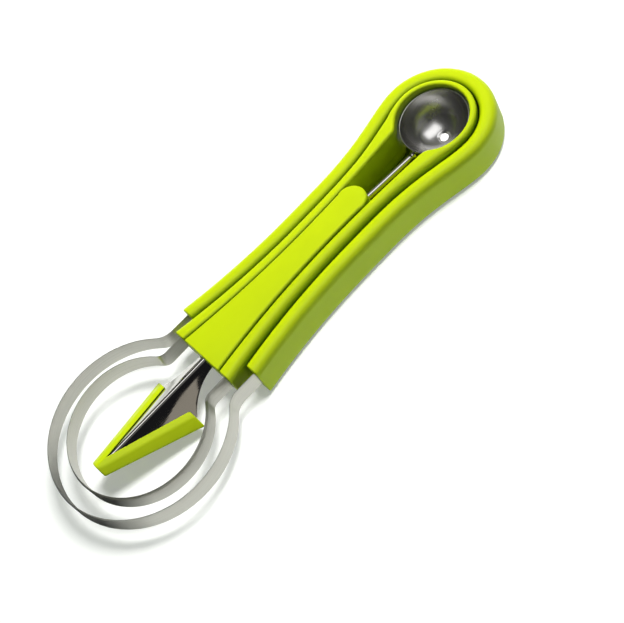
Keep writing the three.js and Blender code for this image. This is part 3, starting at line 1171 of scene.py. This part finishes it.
    def blade_row(self, y: float) -> list[Vector]:
        """Draws one row across the right wing.

        Args:
            y: Place of the row.

        Returns:
            Points from the ridge, which is softly rounded, to the wing's edge.
        """
        reach = self.wing_reach(y)
        near = self.ridge_columns[-1]
        squeeze = min(1.0, reach / (2 * near))
        columns = [column * squeeze for column in self.ridge_columns]
        wide = reach - columns[-1]
        columns += [columns[-1] + wide * i / self.wing_steps for i in range(1, self.wing_steps + 1)]
        points = []
        for column in columns:
            soft = math.hypot(column, self.blade_fold_soft) - column
            points.append(self.fold.folded(column, y, -soft * math.sin(self.fold.angle)))
            if column == 0.0:
                points[-1].x = 0.0
        return points

    def build_blade(self) -> bpy.types.Object:
        """Draws one wing of the folded sheet along its ridge, mirrors it and thickens it.

        Returns:
            The blade.
        """
        mesh = bmesh.new()
        fold, end_y = self.fold, self.nest.small_end_y
        start_y = fold.edge_y(self.tip_reach, 0.0)
        ys = [start_y]
        stops = start_y, fold.corner_y, end_y, end_y + self.blade_tang
        for low, high, rows in zip(stops, stops[1:], self.blade_rows):
            ys += [low + (high - low) * i / rows for i in range(1, rows + 1)]
        wing = Skin(mesh, self.blade_row(ys[0]), closed=False)
        for y in ys[1:]:
            wing.step(self.blade_row(y))
        mirror_over(mesh)
        weld(mesh)
        piece = Piece("folded_v_blade", "carving_blade", Body.CARVER, Slot.BLADE, self.blade_steel)
        blade = piece.finish(mesh)
        eased = blade.modifiers.new("eased_edges", "BEVEL")
        eased.width = self.blade_edge_round * MM
        eased.segments = self.blade_edge_steps
        eased.limit_method = "ANGLE"
        eased.angle_limit = math.radians(self.blade_edge_degrees)
        blade.modifiers.move(len(blade.modifiers) - 1, 0)
        sheet = blade.modifiers.new("sheet", "SOLIDIFY")
        sheet.thickness = self.blade_thickness * MM
        sheet.offset = 0.0
        blade.modifiers.move(len(blade.modifiers) - 1, 0)
        return blade

    def build_stem(self) -> bpy.types.Object:
        """Draws the round stem from inside the grip to the bowl, with a small weld fillet.

        Returns:
            The stem.
        """
        mesh = bmesh.new()
        reach = self.stem_tang + self.nest.head_y - self.nest.grip_top_y
        reach -= self.nest.bowl_rim_radius - self.bowl_wall
        circle = bmesh.ops.create_circle(
            mesh, cap_ends=True, segments=self.stem_sides, radius=self.stem_radius
        )
        ring = circle["verts"]
        spokes = [vert.co.normalized() for vert in ring]
        stem = Skin.on(mesh, ring, list({edge for vert in ring for edge in vert.link_edges}))
        for share, growth in self.stem_shape:
            radius = self.stem_radius * growth
            stem.step([spoke * radius + UP * reach * share for spoke in spokes])
        stem.cap()
        weld(mesh)
        place = Matrix.Translation((0, self.nest.grip_top_y, self.stem_height))
        tilt = Matrix.Rotation(-math.radians(self.stem_slope_degrees), 4, "X")
        back = Matrix.Translation((0, -self.stem_tang, 0))
        lay = Matrix.Rotation(-math.pi / 2, 4, "X")
        bmesh.ops.transform(mesh, matrix=place @ tilt @ back @ lay, verts=mesh.verts)
        piece = Piece("baller_round_stem", "baller_stem", Body.CARVER, Slot.BOWL, self.stem_steel)
        return piece.finish(mesh)

    def bowl_arc(self, radius: float, rise: float) -> list[Point2]:
        """Draws one face of the bowl's wall.

        Args:
            radius: Radius of the face.
            rise: Height of its centre above the rim.

        Returns:
            Distances from the axis and heights, from the pressed edge of the hole to the rim.
        """
        start, stop = math.asin(self.bowl_hole_radius / radius), math.acos(rise / radius)
        points = []
        for i in range(self.bowl_rows + 1):
            turn = start + (stop - start) * (i / self.bowl_rows) ** self.bowl_crowding
            out = radius * math.sin(turn)
            share = (self.dimple_radius - out) / (self.dimple_radius - self.bowl_hole_radius)
            sink = self.dimple_depth * ease(share)
            sink += self.press_depth * ease((self.press_radius - out) / self.press_width)
            points.append((out, rise - radius * math.cos(turn) - sink))
        return points

    def build_bowl(self) -> bpy.types.Object:
        """Spins the bowl's wall round its axis, with a pressed ring round the hole in its bottom.

        Returns:
            The bowl.
        """
        mesh = bmesh.new()
        rim = self.nest.bowl_rim_radius - self.bowl_wall
        radius = (rim**2 + self.bowl_depth**2) / (2 * self.bowl_depth)
        rise = radius - self.bowl_depth
        inside = self.bowl_arc(radius, rise)
        outside = self.bowl_arc(radius + self.bowl_wall, rise)
        middle = (inside[-1][0] + outside[-1][0]) / 2
        lip = arc(middle, 0.0, self.bowl_wall / 2, 180, 0, self.lip_steps)[1:-1]
        profile = [*inside, *lip, *outside[::-1]]
        row = Skin(mesh, [Vector((x, 0, z)) for x, z in profile])
        bmesh.ops.spin(
            mesh,
            geom=[*row.row, *row.edges],
            cent=(0, 0, 0),
            axis=UP,
            angle=math.tau,
            steps=self.bowl_steps,
            use_merge=True,
        )
        weld(mesh)
        tilt = Matrix.Rotation(math.radians(self.bowl_tilt_degrees), 4, "X")
        place = Matrix.Translation((0, self.nest.head_y, self.bowl_rim_height))
        bmesh.ops.transform(mesh, matrix=place @ tilt, verts=mesh.verts)
        piece = Piece("baller_pressed_bowl", "baller_bowl", Body.CARVER, Slot.BOWL, self.bowl_steel)
        return piece.finish(mesh)

    def build(self) -> None:
        """Builds the four pieces."""
        self.build_grip()
        self.build_blade()
        self.build_stem()
        self.build_bowl()


@dataclass
class BladeGuard:
    """Two slotted arms along the cutting edges, joined in a blunt tip. Sizes in millimetres."""

    nest: Nest
    fold: Fold
    plastic: bpy.types.Material
    above: float = 1.8
    below: float = 1.4
    gap: float = 0.2
    sheet: float = 0.8
    chamfer_width: float = 2.4
    chamfer_drop: float = 0.8
    grip: float = 1.8
    lip: float = 3.3
    cover: float = 4.4
    end_span: float = 18.2
    tip_span: float = 21.6
    ridge_flat: float = 2.0
    outer_round: float = 0.8
    back_round: float = 0.7
    shoulder_round: float = 5.0
    lip_round: float = 0.3
    end_round: float = 0.5
    lip_start_degrees: float = 100.0
    arm_steps: int = 16
    back_steps: int = 5
    outer_steps: int = 6
    shoulder_steps: int = 5
    lip_steps: int = 3
    ridge_cuts: int = 5
    ridge_weld: float = 2e-3

    @property
    def end_y(self) -> float:
        """Y of the arms' ends."""
        return self.nest.loop_y + self.end_span

    @property
    def tip_y(self) -> float:
        """Y of the blunt tip."""
        return self.nest.loop_y - self.tip_span

    def lip_reach(self, y: float) -> float:
        """Gives the reach of the front lip's edge, a straight line that nears the cutting edge.

        Args:
            y: Place along the arm.

        Returns:
            The reach.
        """
        start = -self.above * math.tan(self.fold.angle)
        start_y = self.fold.edge_y(start, -self.grip)
        stop = self.fold.edge_reach(self.end_y, -self.lip)
        return start + (stop - start) * (y - start_y) / (self.end_y - start_y)

    def ring(self, y: float, inset: float = 0.0) -> list[Vector]:
        """Draws the right arm's section at one place.

        Args:
            y: Place along the arm.
            inset: How far the section is drawn in, at a rounded end.

        Returns:
            Points round the section, with the slot for the blade's edge in its inner side.
        """
        slot = self.sheet / 2 + self.gap
        low, high = inset - self.below, self.above - inset
        outer = self.fold.edge_reach(y, self.cover) - inset
        back = self.fold.edge_reach(y, -self.grip) + inset
        end = self.fold.edge_reach(y, self.gap)
        lip = self.lip_reach(y) + inset
        shoulder = lip + self.chamfer_width * self.fold.stretch
        lip_z = high - self.chamfer_drop - self.lip_round
        tilt = math.atan(self.chamfer_drop / self.chamfer_width)
        bend = self.shoulder_round * math.tan(tilt / 2)
        steep = 90 + math.degrees(tilt)
        outer_round, back_round = self.outer_round - inset, self.back_round - inset
        wide, fine = self.shoulder_round, self.lip_round
        points = [
            (back, low),
            *arc(outer - back_round, low + back_round, back_round, -90, 0, self.back_steps),
            *arc(outer - outer_round, high - outer_round, outer_round, 0, 90, self.outer_steps),
            *arc(shoulder + bend, high - wide, wide, 90, steep, self.shoulder_steps),
            *arc(lip + fine, lip_z, fine, self.lip_start_degrees, 180, self.lip_steps),
            (lip, slot),
            (end, slot),
            (end, -slot),
            (back, -slot),
        ]
        return [self.fold.folded(reach, y, above) for reach, above in points]

    def build(self) -> bpy.types.Object:
        """Draws one arm past the middle, trims it there, rounds its ridge and mirrors it.

        Returns:
            The guard.
        """
        mesh = bmesh.new()
        ends = rolled_end(self.end_round, END_STEPS)
        rows = [(self.end_y - run, inset) for run, inset in reversed(ends)]
        far, near = self.tip_y + self.end_round, self.end_y - self.end_round
        rows += [(near + (far - near) * i / self.arm_steps, 0.0) for i in range(1, self.arm_steps)]
        rows += [(self.tip_y + run, inset) for run, inset in ends]
        arm = Skin(mesh, self.ring(*rows[0]))
        arm.cap()
        for y, inset in rows[1:]:
            arm.step(self.ring(y, inset))
        arm.cap()
        weld(mesh)
        peak = self.fold.ridge_height + self.above / math.cos(self.fold.angle)
        top = peak - self.ridge_flat / 2 * math.tan(self.fold.angle)
        radius = (peak - top) / (1 / math.cos(self.fold.angle) - 1)
        wide = radius * math.sin(self.fold.angle)
        cut_mesh(mesh, clear=True)
        for i in range(1, self.ridge_cuts + 1):
            cut_mesh(mesh, (wide * i / self.ridge_cuts, 0, 0))
        for vert in mesh.verts:
            if vert.co.x < wide and vert.co.z > self.fold.ridge_height:
                vert.co.z = min(vert.co.z, top - radius + math.sqrt(radius**2 - vert.co.x**2))
        mirror_over(mesh)
        weld(mesh, self.ridge_weld)
        piece = Piece("moulded_blade_guard", "blade_guard", Body.GUARD, Slot.GUARD, self.plastic)
        return piece.finish(mesh)


# The studio


@dataclass
class Studio:
    """Floor, light and camera, in metres."""

    focal_pixels: float = 1500.0
    image_width: int = 624
    sensor_mm: float = 36.0
    camera_turn: tuple[float, float, float] = (-0.1152804, -0.6008096, -0.7649735)
    camera_shift: tuple[float, float, float] = (-68.7657214, -45.6338099, -590.1665815)
    unit_mm: float = 0.9677  # millimetres for each unit of the camera's fit
    height_units: float = 15.6  # height of the fit's origin over the floor
    clip_ends: Point2 = (0.01, 20.0)
    floor_size: Point2 = (6.0, 6.0)
    floor_colour: str = "#C4CEBC"  # what the floor throws back, green from the set beside it
    floor_seen_colour: str = "#E2E2E0"
    floor_glow: float = 0.27
    painted_glow_half: float = 0.012  # half width of the painted pool of light on the floor under the bowl's hole, so that the hole shows white
    painted_glow_ends: Point2 = (0.0845, 0.098)  # that patch's ends along Y
    # painted shade: a dark green sheet on the floor in the large handle's open back
    shade_sheet_low: Point2 = (-0.0118, -0.026)
    shade_sheet_high: Point2 = (0.0118, 0.084)
    shade_sheet_height: float = 0.0002
    shade_sheet_colour: str = "#55680E"
    fill_strength: float = 0.19
    fill_colour: str = "#E4FFE6"
    key_place: tuple[float, float, float] = (-0.48, 0.42, 0.9)
    key_watts: float = 15.8
    key_size: Point2 = (0.3, 0.45)
    floor_key_place: tuple[float, float, float] = (0.04, 0.38, 1.0)
    floor_key_watts: float = 13.5
    screen_place: tuple[float, float, float] = (0.13, 0.41, 1.0)
    screen_size: Point2 = (0.55, 1.1)
    screen_strength: float = 1.8
    room_radius: float = 2.4
    room_parts: tuple[int, int] = (48, 24)
    room_greys: tuple[Point2, ...] = (
        (0.0, 0.03),
        (0.3, 0.07),
        (0.5, 0.14),
        (0.8, 0.28),
        (1.0, 0.2),
    )
    room_blue: float = 0.97  # share of the grey that its blue keeps
    # painted reflection: a dark card, seen only in polished metal, that the strips mirror beside
    # the loops' far end
    shade_radii: Point2 = (0.031, 0.075)
    shade_height: float = 0.0004
    shade_steps: int = 60
    shade_colour: str = "#3A3C3C"
    shade_fade: tuple[Point2, ...] = ((0.08, 0.0), (0.17, 1.0), (0.3, 1.0), (0.4, 0.0))
    card_x: float = 0.45
    card_corners: tuple[Point2, ...] = (
        (-0.027, 0.485),
        (-0.046, 0.482),
        (-0.061, 0.473),
        (-0.095, 0.455),
        (-0.095, 0.410),
        (-0.052, 0.415),
        (-0.037, 0.458),
    )
    card_colour: str = "#A59F94"
    card_gap: float = 0.01  # from the grey card back to the black one
    black_colour: str = "#1E1E20"
    black_corners: tuple[Point2, ...] = ((-0.2, 0.33), (0.1, 0.33), (0.1, 0.6), (-0.2, 0.6))

    def build_camera(self, loop_y: float) -> None:
        """Puts the camera where the photograph was taken from.

        Args:
            loop_y: Y of the loops' centre, in millimetres.
        """
        x, y, z = self.camera_turn
        turn = (
            Matrix.Rotation(z, 3, "Z") @ Matrix.Rotation(x, 3, "X") @ Matrix.Rotation(y, 3, "Y")
        ).transposed()
        place = turn @ -Vector(self.camera_shift) + Vector((0, 0, self.height_units))
        place = place * self.unit_mm + Vector((0, loop_y, 0))
        data = bpy.data.cameras.new("camera")
        data.sensor_width = self.sensor_mm
        data.lens = self.focal_pixels / self.image_width * self.sensor_mm
        data.clip_start, data.clip_end = self.clip_ends
        camera = bpy.data.objects.new("camera", data)
        camera.matrix_world = Matrix.Translation(place * MM) @ turn.to_4x4()
        bpy.context.scene.collection.objects.link(camera)
        bpy.context.scene.camera = camera

    @staticmethod
    def seen_directly(tree: bpy.types.NodeTree) -> bpy.types.NodeSocket:
        """Tells the rays that look at something from those that light something.

        Args:
            tree: The node tree that gets the test.

        Returns:
            One for camera, glossy and transmission rays, nought for the others.
        """
        path = add_node(tree, "ShaderNodeLightPath").outputs
        first = add_math(tree, "MAXIMUM", path["Is Camera Ray"], path["Is Glossy Ray"])
        return add_math(tree, "MAXIMUM", first, path["Is Transmission Ray"])

    def painted_glow_under_bowl(self, tree: bpy.types.NodeTree) -> bpy.types.NodeSocket:
        """Gives one on the floor under the bowl, where a painted pool of light makes the bowl's
        hole show white.

        Args:
            tree: Node tree of the floor's material.

        Returns:
            The socket, which gives nought elsewhere.
        """
        parts = add_node(tree, "ShaderNodeSeparateXYZ", {0: object_place(tree)}).outputs
        low, high = self.painted_glow_ends
        across = add_math(tree, "COMPARE", parts["X"], 0.0, self.painted_glow_half)
        along = add_math(tree, "COMPARE", parts["Y"], (low + high) / 2, (high - low) / 2)
        return add_math(tree, "MULTIPLY", across, along)

    def build_floor(self) -> None:
        """Lays a plain pale floor that keeps the object's shadow, with a painted pool of light
        under the bowl's hole.
        """
        material, tree, surface = new_material("pale_floor")
        plain, dim = (
            add_node(tree, "ShaderNodeBsdfDiffuse", {"Color": linear(colour)}).outputs[0]
            for colour in (self.floor_colour, self.floor_seen_colour)
        )
        # painted light: the floor glows brighter under the bowl, so that its hole shows white
        strength = add_math(tree, "ADD", self.painted_glow_under_bowl(tree), self.floor_glow)
        glow = add_node(tree, "ShaderNodeEmission", {"Color": WHITE, "Strength": strength})
        both = add_node(tree, "ShaderNodeAddShader", {0: dim, 1: glow.outputs[0]}).outputs[0]
        seen = self.seen_directly(tree)
        add_surface(tree, surface, "ShaderNodeMixShader", {0: seen, 1: plain, 2: both})
        floor = add_object("floor", level_sheet(self.floor_size, (0, 0, 0)), material)

    def build_shade_sheet(self) -> None:
        """Lays a sheet of painted shade in the large handle's open back, where the floor gets no
        light.
        """
        material, tree, surface = new_material("painted_shade_sheet")
        add_surface(tree, surface, "ShaderNodeBsdfDiffuse", {"Color": linear(self.shade_sheet_colour)})
        low, high = Vector(self.shade_sheet_low), Vector(self.shade_sheet_high)
        mesh = level_sheet(high - low, (*((low + high) / 2), self.shade_sheet_height))
        shade_sheet = add_object("painted_shade_sheet", mesh, material)

    def build_world(self) -> None:
        """Gives the room an even soft light and a white look."""
        world = bpy.data.worlds.new("soft_room")
        world.use_nodes = True
        tree = world.node_tree
        tree.nodes.clear()
        seen = self.seen_directly(tree)
        ends = {"Value": seen, "To Min": self.fill_strength, "To Max": 1.0}
        strength = add_node(tree, "ShaderNodeMapRange", ends).outputs["Result"]
        tint = add_blend(tree, seen, linear(self.fill_colour), WHITE)
        glow = add_node(tree, "ShaderNodeBackground", {"Color": tint, "Strength": strength})
        add_node(tree, "ShaderNodeOutputWorld", {"Surface": glow.outputs[0]})
        bpy.context.scene.world = world

    def hang_lamp(
        self, name: str, place: Sequence[float], watts: float, lit: list[bpy.types.Object]
    ) -> None:
        """Hangs a soft box that points at the set and lights some objects alone.

        Args:
            name: Name of the lamp.
            place: Where it hangs.
            watts: Its power.
            lit: The objects that it lights.
        """
        data = bpy.data.lights.new(name, "AREA")
        data.shape, data.energy = "RECTANGLE", watts
        data.size, data.size_y = self.key_size
        lamp = bpy.data.objects.new(name, data)
        lamp.location = place
        lamp.rotation_euler = Vector(place).to_track_quat("Z", "Y").to_euler()
        lamp.visible_glossy = False
        bpy.context.scene.collection.objects.link(lamp)
        receivers = bpy.data.collections.new(f"lit_by_{name}")
        for piece in lit:
            receivers.objects.link(piece)
        lamp.light_linking.receiver_collection = receivers

    def build_key(self) -> None:
        """Hangs one soft box for the set, to its left, and one for the floor, overhead."""
        everything = [piece for piece in bpy.context.scene.objects if piece.type == "MESH"]
        floor = [piece for piece in everything if piece.name == "floor"]
        others = [piece for piece in everything if piece.name != "floor"]
        self.hang_lamp("soft_box", self.key_place, self.key_watts, others)
        self.hang_lamp("floor_box", self.floor_key_place, self.floor_key_watts, floor)

    @staticmethod
    def mirrored_only(name: str, mesh: BMesh, material: bpy.types.Material) -> None:
        """Adds a part of the room that shows in polished metal and nowhere else.

        Args:
            name: Name of the object.
            mesh: Its mesh, in metres, which is freed.
            material: Its material.
        """
        card = add_object(name, mesh, material)
        card.visible_camera = card.visible_diffuse = card.visible_shadow = False

    def build_room(self) -> None:
        """Puts a dim dome over the set: dark at the loops' side, lighter behind the head."""
        material, tree, surface = new_material("dim_room")
        parts = add_node(tree, "ShaderNodeSeparateXYZ", {0: object_place(tree)}).outputs
        ends = {"Value": parts["Y"], "From Min": -self.room_radius, "From Max": self.room_radius}
        along = add_node(tree, "ShaderNodeMapRange", ends).outputs["Result"]
        greys = self.room_greys
        stops = [(share, (grey, grey, grey * self.room_blue, 1.0)) for share, grey in greys]
        add_surface(tree, surface, "ShaderNodeEmission", {"Color": add_ramp(tree, along, stops)})
        mesh = bmesh.new()
        turns, rows = self.room_parts
        bmesh.ops.create_uvsphere(mesh, u_segments=turns, v_segments=rows, radius=self.room_radius)
        cut_mesh(mesh, normal=UP, clear=True)
        self.mirrored_only("dim_room", mesh, material)

    def hang_card(self, name: str, mesh: BMesh, colour: str, strength: float = 1.0) -> None:
        """Hangs a card with an even glow.

        Args:
            name: Name of the card.
            mesh: Its mesh, in metres, which is freed.
            colour: Its colour, as a hex code.
            strength: Strength of its glow.
        """
        material, tree, surface = new_material(name)
        inputs = {"Color": linear(colour), "Strength": strength}
        add_surface(tree, surface, "ShaderNodeEmission", inputs)
        self.mirrored_only(name, mesh, material)

    def build_cards(self) -> None:
        """Hangs the soft box's white screen, and a grey card and a black one beside the camera.

        The bowl mirrors the screen, and the blade's right wing mirrors the cards.
        """
        screen = level_sheet(self.screen_size, self.screen_place)
        self.hang_card("white_screen", screen, "#FFFFFF", self.screen_strength)
        cards = (
            ("grey_card", self.card_x, self.card_corners, self.card_colour),
            ("black_card", self.card_x + self.card_gap, self.black_corners, self.black_colour),
        )
        for name, x, outline, colour in cards:
            mesh = bmesh.new()
            corners = [mesh.verts.new((x, y, z)) for y, z in outline]
            bmesh.ops.contextual_create(mesh, geom=corners)
            self.hang_card(name, mesh, colour)

    def build_shade(self, loop_y: float) -> None:
        """Lays a dark card beside the loops' far end, seen only in reflections: it paints a dark
        reflection into the strips where they mirror the floor.

        Args:
            loop_y: Y of the loops' centre, in metres.
        """
        material, tree, surface = new_material("dark_card")
        shift = {"Vector": object_place(tree), "Location": (0, -loop_y, 0)}
        centred = add_node(tree, "ShaderNodeMapping", shift).outputs["Vector"]
        around = add_node(
            tree, "ShaderNodeTexGradient", {"Vector": centred}, gradient_type="RADIAL"
        ).outputs["Fac"]
        stops = [(share, (grey, grey, grey, 1.0)) for share, grey in self.shade_fade]
        fade = add_ramp(tree, around, stops)
        clear = add_node(tree, "ShaderNodeBsdfTransparent").outputs[0]
        dark = add_node(tree, "ShaderNodeEmission", {"Color": linear(self.shade_colour)}).outputs[0]
        add_surface(tree, surface, "ShaderNodeMixShader", {0: fade, 1: clear, 2: dark})
        mesh = bmesh.new()
        inner, outer = self.shade_radii
        row = [mesh.verts.new((radius, loop_y, self.shade_height)) for radius in (inner, outer)]
        bmesh.ops.spin(
            mesh,
            geom=[*row, mesh.edges.new(row)],
            cent=(0, loop_y, 0),
            axis=UP,
            angle=-math.pi,
            steps=self.shade_steps,
        )
        self.mirrored_only("dark_card", mesh, material)

    def build(self, loop_y: float) -> None:
        """Builds the camera, the floor and the light.

        Args:
            loop_y: Y of the loops' centre, in millimetres.
        """
        self.build_camera(loop_y)
        self.build_floor()
        self.build_shade_sheet()
        self.build_world()
        self.build_key()
        self.build_room()
        self.build_cards()
        self.build_shade(loop_y * MM)
        bpy.context.scene.view_settings.view_transform = "Standard"


def main() -> None:
    """Builds the set piece by piece, then the studio."""
    lime = MouldedPolypropylene(
        "lime_moulded_polypropylene", deep="#BCD000", pale="#C8D900"
    ).material()
    strip = RolledStrip(
        "satin_rolled_stainless_strip", dark="#A9A8A0", bright="#CFCEC8"
    ).material()
    nest = Nest()
    fold = Fold(nest)
    blade_steel = PolishedSteel(
        "polished_stainless_sheet",
        tone="#C9C7C3",
        buffing=Buffing.DRAWN,
        roughness=0.03,
        roughness_spread=0.02,
        ring_depth_mm=0.0002,
    ).material()
    stem_steel = PolishedSteel(
        "drawn_stainless_rod", tone="#C4C3C0", buffing=Buffing.DRAWN
    ).material()
    bowl_steel = PolishedSteel(
        "polished_stainless_bowl",
        tone="#C9C8C6",
        buffing=Buffing.TURNED,
        centre_mm=(0.0, nest.head_y, 0.0),
        roughness=0.25,
        roughness_spread=0.05,
        ring_depth_mm=0.0003,
    ).material()
    LoopScoop(
        nest=nest,
        title="large",
        body=Body.LARGE_SCOOP,
        plastic=lime,
        steel=strip,
        end_y=nest.large_end_y,
        outer_half=nest.large_outer,
        inner_half=nest.large_inner,
        ledge_half=nest.large_ledge,
        back_z=0.0,
        front_z=17.2,
        ledge_z=6.2,
        outer_round=3.6,
        inner_round=2.6,
        back_round=3.0,
        loop_radius=nest.large_loop_radius,
        loop_height=7.5,
        loop_rise=1.5,
        tang_half=21.2,
        neck_bend=8.0,
    ).build()
    LoopScoop(
        nest=nest,
        title="small",
        body=Body.SMALL_SCOOP,
        plastic=lime,
        steel=strip,
        end_y=nest.small_end_y,
        outer_half=nest.small_outer,
        inner_half=nest.small_inner,
        ledge_half=nest.small_ledge,
        back_z=nest.small_back_z,
        front_z=nest.small_back_z + nest.small_depth,
        ledge_z=nest.small_back_z + 1.5,
        outer_round=3.2,
        inner_round=1.4,
        back_round=1.2,
        loop_radius=29.8,
        loop_height=8.8,
        loop_rise=0.0,
        tang_half=14.3,
        neck_bend=4.4,
    ).build()
    Carver(
        nest,
        fold,
        plastic=lime,
        blade_steel=blade_steel,
        stem_steel=stem_steel,
        bowl_steel=bowl_steel,
    ).build()
    BladeGuard(nest, fold, plastic=lime).build()
    Studio().build(nest.loop_y)


if __name__ == "__main__":
    main()
